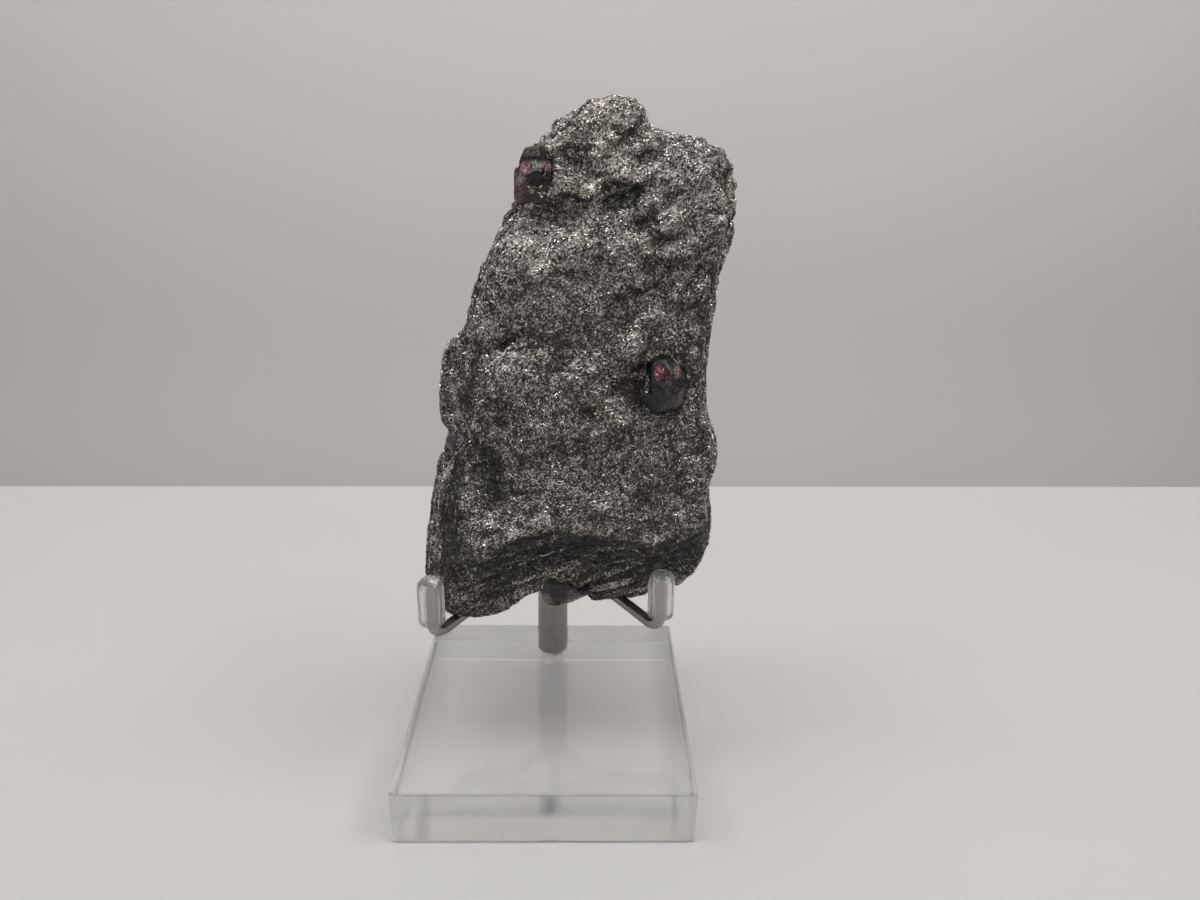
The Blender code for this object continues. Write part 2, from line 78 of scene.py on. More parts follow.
# On the undercut below the ridge they slant, and are stronger and finer.
UNDERCUT_SLANT = math.radians(20)
UNDERCUT_STRENGTH, UNDERCUT_FINENESS = 1.9, 0.85
# Random relief: its warp, then its knobs, small knobs and grit: size, rise in millimetres, and how much more
# they rise in the upper part, and the knobs at the ridge.
WARP_REACH, WARP_SIZE = 0.0020, 0.009
KNOB_LEAN, KNOB_STRETCH = math.radians(28), 1.5
KNOB_SIZE, SMALL_KNOB_SIZE, GRIT_SIZE = 0.0070, 0.0034, 0.0026
KNOB_RISE, SMALL_KNOB_RISE, GRIT_RISE = 0.36, 0.34, 0.36
UPPER_PART = (0.130, 0.160)
UPPER_KNOBS, UPPER_SMALL_KNOBS, UPPER_GRIT, RIDGE_KNOBS = 0.14, 0.16, 0.10, 0.5

# Soft marks, in millimetres: x, height, half length, half width, turn in degrees, and rise.
# Lumps and dents of the front that the photograph shows, all strengthened alike.
MARKS_STRENGTH = 1.9
FRONT_MARKS = (
    # recess below the upper left garnet, and creases
    (0, 158, 7, 2.2, 2, -0.9), (7.5, 160.8, 3.5, 1.3, -10, -0.7), (17, 161.3, 4.5, 1.1, 25, -1.1),
    (15.7, 164.2, 2.2, 1.3, 10, -0.8), (11.5, 166.3, 2.4, 1.1, 5, -0.7), (7, 168.8, 2, 1.6, 0, -0.9),
    (22.5, 170.3, 3.2, 1.6, 8, -1), (20, 175.3, 3.4, 1.1, 32, -0.8), (7, 172.3, 2.8, 0.6, -10, -0.7),
    (11.5, 177.3, 3, 1.8, 60, -0.5), (41, 166, 1.8, 2.2, 0, -0.8), (30, 161.5, 3.2, 1.5, 30, -0.7),
    (23, 156.3, 3, 1.2, 25, -0.8), (29.5, 152.5, 4, 1.4, 15, -0.7), (24.5, 146, 3.5, 1.6, 25, -0.8),
    (5.5, 144.3, 3.4, 1.1, 5, -0.9), (12.5, 148, 1.4, 0.5, 55, -0.6),
    # lumps of the upper part
    (2.5, 172.8, 2.8, 2, 15, 0.8), (11, 171.5, 2.4, 2.2, 0, 0.7), (16.5, 178.5, 2, 1.8, 0, 0.6),
    (19.5, 178, 2.2, 1.6, 60, 0.6), (15.5, 174, 4, 1.5, 42, 0.6), (22, 172.6, 2.4, 1.6, 10, 0.9),
    (25, 167.3, 2.4, 1.6, 10, 0.8), (20.5, 165.9, 3.4, 1.4, 8, 0.9), (10.3, 163.2, 2.2, 2, 0, 0.9),
    (16.5, 167, 2.4, 1.2, -10, 0.7), (22.5, 160.2, 4.2, 1.4, 24, 0.9), (17, 157, 2.6, 1.8, 10, 0.9),
    (28, 156.3, 3.4, 1.8, 24, 1), (39.5, 156.5, 1.8, 2, 60, 0.7), (6.5, 152.3, 3.6, 2.4, 5, 1.1),
    (16, 150.2, 2.2, 2, 0, 0.8), (28.5, 149.5, 2.2, 1.3, 0, 0.8), (-2, 144.4, 3.4, 2.2, 25, 1),
    (36.5, 141.3, 2, 2, 0, 0.8), (23, 141.3, 1.8, 1.2, 0, 0.6), (17.5, 141, 2, 1.4, 0, 0.5),
    # middle: dark step, lit swells and shallow troughs
    (-9, 127.8, 4.2, 1.2, 28, -1), (-9, 122, 4, 3, 30, 0.9), (-12.5, 117.5, 4, 2.6, 30, 0.7),
    (21, 125.5, 1.8, 4, 0, 0.8), (6, 119.5, 3, 1.6, 0, 0.6), (11, 121.5, 2.4, 1.4, 0, 0.4),
    (20, 117, 4.5, 2.6, 25, -0.8), (12, 111, 3, 1.8, 10, -0.6), (-11, 107.8, 2.2, 1.3, 0, -0.6),
    (-18, 107.5, 2.2, 2, 0, 0.6), (12, 105.5, 1.6, 2.6, 0, 0.6), (19.5, 108.3, 3, 1.6, 0, 0.6),
    (-16.5, 98, 2.5, 4.5, 0, -0.8), (28, 98, 3.4, 2.4, 0, 0.6), (3, 101, 4, 3, 0, -0.4),
    # lit swellings just above the ridge
    (-3, 87.8, 2, 1, 0, 0.6), (-1, 84.3, 4.4, 1.8, 8, 1.1), (15.5, 86.8, 3.4, 1.8, -10, 0.8),
    (24.5, 84.3, 3, 1, 5, 0.7), (34, 84.8, 2.5, 1.2, 0, 0.6), (-14, 82.5, 4, 1.6, 15, 0.6),
    # pits beside the right garnet
    (22.6, 115.5, 1.6, 3.6, 0, -0.6), (24, 122.1, 1.2, 1, 0, -0.6),
    # hollow on the left and the slope beside it
    (-13.5, 92, 3.2, 6.5, 0, -0.8), (-29, 82, 7.5, 17, 0, -1.5), (-10, 79, 6, 2, 15, 0.5),
    # rock over the bottom garnet
    (4.5, 67.5, 6, 2, 0, 0.8),
)
# Painted shade in the pits beside the right garnet, in the hollow on the left and just under the ridge, and
# two paler places on the left, where the rise is how much paler.
PAINTED_SHADING_MARKS = (
    (23, 115, 2, 4, 0, -0.45), (24, 122, 1.5, 1.3, 0, -0.6), (-13, 92, 3, 6, 0, -0.25),
    (-29, 82, 7.5, 17, 0, 0.14), (-25, 113, 4, 9, 0, 0.15), (3, 76.5, 9, 4, 0, -0.2),
)
# Corners of the outline.
OUTLINE_MARKS = (
    (22.6, 181.2, 1.6, 1.6, 0, 1.4), (25.8, 178.2, 1.7, 1.7, 0, -1.1), (0.6, 175.4, 1.5, 1.5, 0, -1.4),
)
# The ridge over the undercut as (x, height) in millimetres, how far it wavers, how high and wide its swell
# is, and how far the face under it is set back.
RIDGE = ((-27, 71), (-17, 74), (-7, 78), (4, 80), (14, 79), (27, 77), (39, 82.5))
RIDGE_WAVER = 2.4
SWELL_RISE, SWELL_HALF_WIDTH = 0.45, 1.9
SET_BACK = 0.65
# The rock: paler towards the top, painted light on lumps and painted shade in dents, a little darker all
# over, and painted shade on faces that look down, on faces to the left and on the undercut.
TOP_PALER, RELIEF_PAINTED_LIGHT = 0.26, 0.14
ALL_DARKER, UNDERSIDE_PAINTED_SHADE, LEFT_SIDE_PAINTED_SHADE, UNDERCUT_PAINTED_SHADE = 0.06, 0.30, 0.20, 0.14

# Where each garnet shows on the front: the gap in the rock as corners (x, height), in millimetres.
GARNET_WINDOWS = {
    "garnet_upper_left": (
        (-9.5, 158.5), (-5.7, 161.7), (-3, 163.6), (0.8, 164.3), (2.1, 167.5), (2, 170), (0.3, 170.9),
        (-1.7, 171.6), (-1.7, 174.5), (-9.5, 174.5),
    ),
    "garnet_right": (
        (25.2, 124), (26.4, 125.2), (27.7, 125.5), (30.7, 124.7), (33, 122.6), (34.4, 118), (34.3, 113.6),
        (32.9, 111.1), (29, 110.3), (26.3, 111.4), (24.5, 114), (24.3, 118), (25.4, 120.6),
    ),
    "garnet_bottom": (
        (-4, 60.2), (-2, 60.2), (0.2, 62), (4.8, 62.4), (7, 61.4), (9, 59.9), (10.8, 58.4), (11.6, 56.5),
        (11.6, 51), (-4, 51),
    ),
    "garnet_left_side": (
        (-28.5, 95.4), (-25.2, 95.6), (-24.5, 98), (-24.8, 100.8), (-26, 103.2), (-28.5, 103.4),
    ),
    "garnet_ridge": ((25.4, 74.2), (26.8, 73.4), (28.2, 74.3), (28.3, 75.6), (27, 76.6), (25.5, 76)),
}
# How far round a garnet its socket is closed, how deep the skin goes under its faces where it shows, how far
# off them that ends, and how clear of them the flakes stay.
GARNET_MARGIN = 0.00035
GARNET_TUCK = 0.0005
GARNET_REACH = (0.0040, 0.0050)
GARNET_CLEAR = 0.0002
# How much taller a garnet is than its CAD block.
GARNET_STRETCH = {"garnet_left_side": 1.25}

# The three large garnets in millimetres: a centre, and the blocks that grew through each other there. Each
# face of a block is the three parts of its outward direction, and its distance from the centre.
GARNET_BLOCKS = {
    "garnet_upper_left": ((-3.2, -3, 166), (
        (
            (-1, 0.08, 0, 4.2), (-0.75, -0.65, 0.05, 4.75), (0.05, -0.97, -0.22, 5.9),
            (-0.35, -0.75, -0.56, 6.2), (-0.8, 0, -0.5, 6.2), (-0.55, 0.03, 0.83, 3.3),
            (-0.45, -0.65, 0.6, 4.65), (-0.1, -0.75, 0.65, 5.4), (0, 0.05, 1, 4.2), (0.1, 0, -1, 6.5),
            (1, -0.2, 0, 5.5), (0.7, -0.7, 0.1, 6), (0, 1, 0, 5),
        ),
        (
            (-1, 0.08, 0, 2.7), (-0.92, 0.05, 0.39, 3.85), (-0.6, -0.78, 0.1, 4.6), (0.1, -0.95, 0.2, 5.5),
            (-0.18, 0.04, 0.98, 6.5), (0, 0, -1, 2), (1, 0, 0, 5), (0, 1, 0, 5),
        ),
    )),
    "garnet_right": ((29.4, -10, 117.3), (
        (
            (-0.50, -0.83, -0.25, 6.1), (0.12, -0.96, -0.25, 6.7), (0.80, -0.58, -0.12, 6.05),
            (0.18, -0.62, -0.76, 7.05), (0.42, -0.80, 0.42, 6), (-0.15, -0.85, 0.50, 6.15),
            (0.5, -0.5, 0.7, 6.1), (-0.1, -0.3, 0.95, 7.75), (-0.95, -0.3, 0.1, 5.25),
            (-0.6, -0.4, 0.7, 7.3), (1, 0, 0.05, 5.3), (-0.1, -0.2, -0.97, 7.4), (-0.7, -0.4, -0.6, 7.1),
            (0.7, 0, -0.7, 7.2), (0, 1, 0, 6),
        ),
    )),
    "garnet_bottom": ((4.6, -6.5, 60.2), (
        (
            (-0.15, -0.98, -0.10, 6.6), (0.30, -0.65, -0.70, 6.7), (-0.72, -0.60, -0.35, 8),
            (-0.96, 0, -0.26, 6.9), (0, -0.1, -1, 5.7), (0.58, 0, -0.81, 5.5), (0.95, -0.2, 0.1, 7.1),
            (0, -0.72, 0.69, 6.4), (0.58, -0.40, 0.70, 4.9), (0, 1, 0, 5.5), (0, 0, 1, 5.5),
        ),
    )),
}
# How sharp each garnet's edges are, and how often the ball that it is drawn from is subdivided.
GARNET_WEAR = {
    "garnet_upper_left": (80, 5), "garnet_right": (80, 5), "garnet_bottom": (80, 5),
    "garnet_left_side": (9, 4), "garnet_ridge": (12, 4),
}
# Depths of a crystal's growth steps, chips and pits, for its size, and how closely the steps follow.
STEP_DEPTH, CHIP_DEPTH, PIT_DEPTH = 0.018, 0.020, 0.008
GROWTH_STEPS = 2.5

# The garnets' own colours, with the greys of painted reflections on facets and the white of painted glints.
BLACK = (0.004, 0.004, 0.006)
SLATE_FACET_REFLECTION = (0.022, 0.022, 0.027)
GRAPHITE_FACET_REFLECTION = (0.050, 0.050, 0.052)
CLAY = (0.075, 0.062, 0.055)
ASH = (0.170, 0.166, 0.150)
DEEP_RED = (0.040, 0.014, 0.020)
RED = (0.080, 0.012, 0.022)
MAROON = (0.130, 0.068, 0.076)
PINK = (0.150, 0.035, 0.058)
ROSE = (0.140, 0.075, 0.075)
MAUVE = (0.230, 0.115, 0.130)
GREY_PLUM = (0.065, 0.054, 0.064)
AMBER = (0.400, 0.110, 0.050)
PAINTED_GLINT = (0.80, 0.76, 0.78)
# Patches of each garnet on the black and deep red: x, height, half width, half height in millimetres, colour.
GARNET_PATCHES = {
    "garnet_upper_left": (
        (-6.3, 165, 1.6, 3.2, MAROON), (-5.9, 165.6, 0.8, 1.2, ASH), (-6.6, 161.6, 1.2, 1.6, RED),
        (-3.4, 171.6, 2.8, 1.3, CLAY), (-2.2, 168.9, 2, 0.8, ASH), (0.4, 168.4, 1.4, 0.9, MAUVE),
        (-4.9, 168.3, 1.2, 1, MAUVE), (-4.8, 167.1, 0.35, 0.3, AMBER), (-1.4, 166, 2.2, 1.5, BLACK),
        (-4.3, 163.6, 1.4, 1.2, RED), (-2, 170.15, 2.1, 0.28, BLACK),
    ),
    "garnet_right": (
        (27.6, 121.7, 1.05, 1.7, PINK), (31.9, 121.6, 0.8, 1.4, ROSE), (29.8, 117.5, 0.5, 0.4, RED),
        # Painted reflections: the grey facets of the right garnet.
        (27, 114.7, 2.8, 3.2, BLACK), (33.1, 115.4, 1.2, 2.2, GRAPHITE_FACET_REFLECTION), (30.2, 112.8, 2.6, 1.8, SLATE_FACET_REFLECTION),
        (29.6, 119, 1.4, 1.6, SLATE_FACET_REFLECTION), (25, 118.4, 0.5, 0.5, RED),
    ),
    "garnet_left_side": ((-25, 99.2, 5, 6, GREY_PLUM),),
    "garnet_bottom": (
        # The black patch on the bottom garnet's upper part, under the overhanging rock, is its own near black
        # and partly painted shade.
        (7, 57.5, 3.4, 3.4, GREY_PLUM), (2.8, 60, 2.8, 3, BLACK), (-0.5, 57, 1.6, 1.6, MAROON),
    ),
}

# The schist's own grains, which are only colour and sheen: size, length, the two ways that they run, tilt.
GRAIN_SIZE, GRAIN_LENGTH = 0.00030, 2.6
GRAIN_RUNS = (0.9, -0.7)
GRAIN_TILT = 0.7
# Colours of the grains from the darkest to the palest, and the tint of its rusty places.
SCHIST_COLOURS = (
    (0.36, (0.006, 0.006, 0.006)), (0.54, (0.026, 0.024, 0.021)), (0.70, (0.078, 0.073, 0.065)),
    (0.83, (0.280, 0.262, 0.232)), (0.94, (0.700, 0.665, 0.600)),
)
RUSTY = (1.0, 0.78, 0.70)
# How much patches, streaks along the cut layers and the rock's painted light and shade change a grain's
# colour.
PATCH_SHARE, STREAK_SHARE, TONE_AND_SHADING_SHARE = 0.9, 2.2, 0.6

# Flakes of mica: how many, and the least and most of their length, width, thickness and height over the skin.
FLAKE_COUNT = 180000
FLAKE_LENGTH = (0.00038, 0.00112)
FLAKE_WIDTH = (0.00016, 0.00038)
FLAKE_THICK = (0.000015, 0.000045)
FLAKE_HEIGHT = (-0.00003, 0.00009)
# How far a flake's side corners are off its middle, for its length, and its tilt where the layers are cut.
FLAKE_LEAN = 0.28
FLAKE_EDGE_TILT = 0.45
# Which way the flakes run on the front, how much that changes, over what distance, and between flakes.
FLAKE_RUN, RUN_CHANGE, RUN_SIZE, RUN_SCATTER = math.radians(55), 1.3, 0.011, 0.6
# The flakes lie on a crust whose bumps are finer than the skin's mesh: how high and wide these are.
CRUST_HEIGHT, CRUST_SIZE = 0.00015, 0.0013
# Kinds of flake from dark to bright: name, colour, roughness, metallic value, random tilt, tilt upwards.
FLAKE_KINDS = (
    ("biotite_black", (0.005, 0.005, 0.005), 0.45, 0.0, 0.20, 0.0),
    ("biotite_brown", (0.011, 0.010, 0.009), 0.45, 0.0, 0.20, 0.0),
    ("mica_bronze", (0.025, 0.022, 0.019), 0.48, 0.2, 0.22, 0.0),
    ("mica_grey", (0.048, 0.044, 0.039), 0.48, 0.3, 0.22, 0.0),
    ("mica_dull", (0.096, 0.089, 0.078), 0.48, 0.4, 0.24, 0.1),
    ("mica_pale", (0.245, 0.229, 0.203), 0.46, 0.6, 0.28, 0.2),
    ("mica_silver", (0.700, 0.660, 0.590), 0.42, 0.8, 0.38, 0.3),
    ("mica_bright", (0.920, 0.890, 0.830), 0.30, 0.9, 0.55, 0.4),
)

# The dark needle on the front, from end to end as (x, height) in millimetres, and the yellow grain beyond its
# lower end: how long and how thick that is beside the needle.
NEEDLE = ((0.0, 89.5), (4.3, 85.8))
NEEDLE_RADIUS = 0.00016
NEEDLE_COLOUR = (0.004, 0.004, 0.004)
NEEDLE_PLACES = 9
YELLOW_LENGTH, YELLOW_THICKNESS = 0.18, 1.5
YELLOW = (0.42, 0.36, 0.20)

# The acrylic base: roughness of its top, how much rougher its sides are, and how much their marks add.
TOP_ROUGHNESS, SIDE_ROUGHNESS, MARKS_ROUGHNESS = 0.03, 0.06, 0.06

# The two arms that the stone lies on, as in the CAD model: radius, the corner they share, their outer ends.
ROD_RADIUS = 0.0016
ARM_CORNER = Vector((0.0002, 0.026, 0.0530))
ARM_ENDS = (Vector((-0.0298, -0.0199, 0.0502)), Vector((0.03045, -0.0159, 0.0502)))


# ---- numbers

# How much finer each octave of a noise is: not a whole number, so that their grids don't line up.
OCTAVE_RATIO = 1.93


def hashed(cells, seed):
    """A repeatable value from 0 to 1 for each whole-number place, by a usual integer hash."""
    h = cells[..., 0] * 73856093 ^ cells[..., 1] * 19349663 ^ cells[..., 2] * 83492791 ^ seed * 2654435761
    h = (h ^ (h >> 13)) * 1274126177 & 0xFFFFFFFF
    h = (h ^ (h >> 16)) * 2246822519 & 0xFFFFFFFF
    return ((h ^ (h >> 15)) & 0xFFFFFF) / 0xFFFFFF


def value_noise(points, size, seed=0):
    """Smooth noise from -1 to 1, with this wavelength in metres, or one for each axis."""
    places = points / np.asarray(size)
    cells = np.floor(places).astype(np.int64)
    share = places - cells
    share = share * share * (3 - 2 * share)
    total = np.zeros(len(points))
    for corner in np.ndindex(2, 2, 2):
        weight = np.prod(np.where(corner, share, 1 - share), axis=1)
        total += weight * hashed(cells + corner, seed)
    return 2 * total - 1


def fractal_noise(points, size, seed=0, octaves=3, gain=0.55):
    """Smooth noise with finer and weaker noise added to it."""
    total = np.zeros(len(points))
    for octave in range(octaves):
        total += gain ** octave * value_noise(points, size / OCTAVE_RATIO ** octave, seed + 17 * octave)
    return total


def knob_noise(points, size, seed=0):
    """Rounded knobs with creases between them, about -1 in a crease and 1 on top of a knob."""
    places = points / size
    cells = np.floor(places).astype(np.int64)
    nearest = np.full(len(points), 9.0)
    for offset in np.ndindex(3, 3, 3):
        cell = cells + np.array(offset) - 1
        middle = cell + np.stack([hashed(cell, seed + k) for k in (1, 2, 3)], axis=1)
        nearest = np.minimum(nearest, ((places - middle) ** 2).sum(axis=1))
    return 1 - 2 * np.clip(nearest, 0, 1)


def ramp(low, high, values):
    """0 under the low value and 1 over the high one, eased between them."""
    share = np.clip((values - low) / (high - low), 0, 1)
    return share * share * (3 - 2 * share)


def turned(x, z, angle):
    """How far the places (x, z) are along a direction at this angle, and across it."""
    cos, sin = math.cos(angle), math.sin(angle)
    return x * cos + z * sin, z * cos - x * sin


def unit(vectors):
    return vectors / np.maximum(np.linalg.norm(vectors, axis=1, keepdims=True), 1e-12)


# ---- meshes

def rows_of(items, name, kind=float, size=3):
    """One row for each item of a mesh, with the values of this name."""
    values = np.empty(len(items) * size, kind)
    items.foreach_get(name, values)
    return values.reshape(-1, size)


def arrays_of(mesh):
    """(points, triangles) of a mesh."""
    mesh.calc_loop_triangles()
    return rows_of(mesh.vertices, "co"), rows_of(mesh.loop_triangles, "vertices", np.int64)


def add_object(name, data):
    obj = bpy.data.objects.new(name, data)
    bpy.context.scene.collection.objects.link(obj)
    return obj


def object_from_arrays(name, points, faces, material=None, smooth=True):
    """A new object from points and faces that all have the same number of corners."""
    corners = faces.shape[1]
    mesh = bpy.data.meshes.new(name)
    mesh.vertices.add(len(points))
    mesh.vertices.foreach_set("co", points.ravel())
    mesh.loops.add(faces.size)
    mesh.loops.foreach_set("vertex_index", faces.ravel().astype(np.int32))
    mesh.polygons.add(len(faces))
    mesh.polygons.foreach_set("loop_start", np.arange(0, faces.size, corners, dtype=np.int32))
    mesh.update(calc_edges=True)
    mesh.validate()
    if smooth:
        mesh.shade_smooth()
    else:
        mesh.shade_flat()
    if material:
        mesh.materials.append(material)
    return add_object(name, mesh)


def sums_at(places, vectors, count):
    """For each place, counted from 0, the sum of the vectors that belong to it."""
    return np.stack([np.bincount(places, vectors[:, k], count) for k in range(3)], axis=1)


def vertex_normals(points, quads):
    corners = points[quads]
    normals = np.cross(corners[:, 2] - corners[:, 0], corners[:, 3] - corners[:, 1])
    return unit(sums_at(quads.ravel(), np.repeat(normals, 4, axis=0), len(points)))


def smoothed(points, quads, times):
    """The points, each drawn half way to the middle of its neighbours, several times."""
    edges = np.concatenate([quads, np.roll(quads, -1, axis=1)], axis=0).reshape(2, -1).T
    edges = np.concatenate([edges, edges[:, ::-1]])
    count = np.bincount(edges[:, 0], minlength=len(points))[:, None]
    for _ in range(times):
        total = sums_at(edges[:, 0], points[edges[:, 1]], len(points))
        points = (points + total / count) / 2
    return points


def join(parts):
    """One (points, faces) from several."""
    starts = np.cumsum([0] + [len(points) for points, _ in parts])
    points = np.concatenate([points for points, _ in parts])
    return points, np.concatenate([faces + start for (_, faces), start in zip(parts, starts)])


def blocks_of(node):
    """(centre, [(outward face normals, their distances from the centre)]) of a garnet, in metres."""
    if node in GARNET_BLOCKS:
        centre, blocks = GARNET_BLOCKS[node]
        tables = [np.array(block) for block in blocks]
        return MM * np.array(centre), [(unit(faces[:, :3]), MM * faces[:, 3]) for faces in tables]
    points, triangles = arrays_of(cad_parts[node].data)
    centre = (points.min(axis=0) + points.max(axis=0)) / 2
    points = centre + (points - centre) * (1, 1, GARNET_STRETCH.get(node, 1))
    corners = points[triangles]
    normals = np.cross(corners[:, 1] - corners[:, 0], corners[:, 2] - corners[:, 0])
    has_area = np.linalg.norm(normals, axis=1) > 1e-10
    normals = unit(np.unique(np.round(unit(normals[has_area]), 3), axis=0))
    return centre, [(normals, ((points - centre) @ normals.T).max(axis=0))]


def outside_by(points, garnet):
    """(how far each point is outside a garnet, negative inside, and the nearest face's normal)."""
    centre, blocks = garnet
    best, facing = np.full(len(points), np.inf), np.zeros_like(points)
    for normals, reach in blocks:
        distances = (points - centre) @ normals.T - reach
        distance, nearest = distances.max(axis=1), normals[distances.argmax(axis=1)]
        facing = np.where((distance < best)[:, None], nearest, facing)
        best = np.minimum(distance, best)
    return best, facing


def outside_outline(x, height, corners):
    """How far each place (x, height) is outside an outline, negative inside."""
    nearest = np.full(len(x), np.inf)
    inside = np.zeros(len(x), bool)
    for (x0, z0), (x1, z1) in zip(corners, corners[1:] + corners[:1]):
        dx, dz = x1 - x0, z1 - z0
        share = np.clip(((x - x0) * dx + (height - z0) * dz) / (dx * dx + dz * dz), 0, 1)
        nearest = np.minimum(nearest, np.hypot(x - x0 - share * dx, height - z0 - share * dz))
        if dz:
            crosses = (z0 > height) != (z1 > height)
            inside ^= crosses & (x < x0 + (height - z0) * dx / dz)
    return np.where(inside, -nearest, nearest)


# ---- materials

def new_material(name):
    """(material, its node tree, its shader)."""
    material = bpy.data.materials.new(name)
    material.use_nodes = True
    tree = material.node_tree
    return material, tree, tree.nodes["Principled BSDF"]


def feed(tree, socket, value):
    """Links another node's output to the socket, or sets the socket to a constant."""
    if isinstance(value, bpy.types.NodeSocket):
        tree.links.new(value, socket)
    elif socket.type == "RGBA":
        socket.default_value = (*value, 1)
    else:
        socket.default_value = value


def feed_named(tree, node, **values):
    """Feeds a node's inputs by their names, with _ for a space."""
    for name, value in values.items():
        feed(tree, node.inputs[name.replace("_", " ")], value)


def new_node(tree, kind, **values):
    node = tree.nodes.new("ShaderNode" + kind)
    feed_named(tree, node, **values)
    return node


def attribute(tree, name):
    """The outputs that read an attribute of the mesh."""
    node = new_node(tree, "Attribute")
    node.attribute_name = name
    return node.outputs


def coordinates(tree, kind):
    return new_node(tree, "TexCoord").outputs[kind]


def colour_ramp(tree, source, *stops):
    """The colour between (value, colour) stops at the source's value."""
    node = new_node(tree, "ValToRGB", Fac=source)
    elements = node.color_ramp.elements
    while len(elements) < len(stops):
        elements.new(0.5)
    for element, (place, colour) in zip(elements, stops):
        element.position = place
        element.color = (*colour, 1)
    return node.outputs["Color"]


def grey(value):
    return value, value, value


def object_coordinates(tree, stretch=(1, 1, 1), turn=(0, 0, 0)):
    """Object coordinates, turned and then stretched along their own axes."""
    node = new_node(tree, "Mapping", Vector=coordinates(tree, "Object"), Scale=stretch, Rotation=turn)
    node.vector_type = "TEXTURE"
    return node.outputs["Vector"]


def noise_at(tree, vector, wavelength, detail=2, roughness=0.5):
    """Noise about 0.5 with this wavelength in metres."""
    node = new_node(tree, "TexNoise", Vector=vector, Scale=1 / wavelength, Detail=detail, Roughness=roughness)
    return node.outputs["Fac"]


def operate(tree, kind, operation, values):
    """The outputs of a node of this kind that works on the values."""
    node = new_node(tree, kind)
    node.operation = operation
    for socket, value in zip(node.inputs, values):
        feed(tree, socket, value)
    return node.outputs


def maths(tree, operation, *values):
    return operate(tree, "Math", operation, values)["Value"]


def vector_maths(tree, operation, *values):
    outputs = operate(tree, "VectorMath", operation, values)
    return outputs["Value" if operation == "DOT_PRODUCT" else "Vector"]


def mix_colours(tree, share, first, second, blend="MIX"):
    node = new_node(tree, "Mix")
    node.data_type = "RGBA"
    node.blend_type = blend
    # This node has a factor and two inputs for each type of data, and these are the colours'.
    for number, value in ((0, share), (6, first), (7, second)):
        feed(tree, node.inputs[number], value)
    return node.outputs[2]


def bumped(tree, *heights):
    """The normal after a chain of bumps, from (height, distance) pairs."""
    before = {}
    for height, distance in heights:
        normal = new_node(tree, "Bump", Height=height, Distance=distance, **before).outputs["Normal"]
        before = {"Normal": normal}
    return normal


def grains_at(tree, vector, size):
    """A random colour for each grain of about this size."""
    return new_node(tree, "TexVoronoi", Vector=vector, Scale=1 / size).outputs["Color"]


def channel(tree, colour, name):
    return new_node(tree, "SeparateColor", Color=colour).outputs[name]


def schist_material():
    """Grains too small to be mesh, each with its own lightness and tilt, in patches that run two ways,
    darkened and lightened by the rock's painted light and shade.
    """
    material, tree, shader = new_material("mica_schist")
    place = object_coordinates(tree)
    rising, falling = (
        grains_at(tree, object_coordinates(tree, (1, 1, GRAIN_LENGTH), (0, run, 0)), GRAIN_SIZE)
        for run in GRAIN_RUNS
    )
    chooser = colour_ramp(tree, noise_at(tree, place, 0.0016), (0.48, grey(0)), (0.52, grey(1)))
    grains = mix_colours(tree, chooser, rising, falling)
    fine_patches = noise_at(tree, place, 0.0018)
    patches = maths(tree, "ADD", noise_at(tree, place, 0.0055, detail=3, roughness=0.6), fine_patches)
    level = maths(tree, "ADD", channel(tree, grains, "Red"), maths(tree, "MULTIPLY", patches, PATCH_SHARE))
    # Where the skin cuts across the layers it is streaked along them.
    along_normal = vector_maths(tree, "DOT_PRODUCT", coordinates(tree, "Normal"), tuple(LAYER_NORMAL))
    facing = maths(tree, "ABSOLUTE", along_normal)
    edge_on = colour_ramp(tree, facing, (EDGE_ON[0], grey(1)), (EDGE_ON[1], grey(0)))
    layers = object_coordinates(tree, (14, 1, 14), (-math.atan(LAYER_RISE), 0, 0))
    streaks = maths(tree, "SUBTRACT", noise_at(tree, layers, 0.00050, detail=3, roughness=0.6), 0.52)
    shown_streaks = maths(tree, "MULTIPLY", maths(tree, "MULTIPLY", streaks, STREAK_SHARE), edge_on)
    level = maths(tree, "ADD", level, shown_streaks)
    # The rock's painted light and shade, from an attribute of the skin, darkens or lightens the grains.
    level = maths(tree, "MULTIPLY_ADD", attribute(tree, "tone_and_painted_shading")["Fac"], TONE_AND_SHADING_SHARE, level)
    colour = colour_ramp(tree, maths(tree, "MULTIPLY", level, 0.5), *SCHIST_COLOURS)
    rusty = colour_ramp(tree, noise_at(tree, place, 0.020), (0.5, grey(0)), (0.7, grey(0.35)))
    tilt = vector_maths(tree, "MULTIPLY", vector_maths(tree, "SUBTRACT", grains, grey(0.5)), grey(GRAIN_TILT))
    relief_normal = bumped(tree, (noise_at(tree, place, 0.0010, detail=3), 0.00035))
    feed_named(
        tree, shader,
        Base_Color=mix_colours(tree, rusty, colour, mix_colours(tree, 1, colour, RUSTY, "MULTIPLY")),
        Roughness=colour_ramp(tree, channel(tree, grains, "Green"), (0, grey(0.30)), (1, grey(0.70))),
        Metallic=colour_ramp(tree, channel(tree, grains, "Blue"), (0.60, grey(0)), (0.90, grey(0.8))),
        Normal=vector_maths(tree, "NORMALIZE", vector_maths(tree, "ADD", relief_normal, tilt)),
    )
    return material


def plain_material(name, colour, roughness, metallic=0):
    material, tree, shader = new_material(name)
    feed_named(tree, shader, Base_Color=colour, Roughness=roughness, Metallic=metallic)
    return material


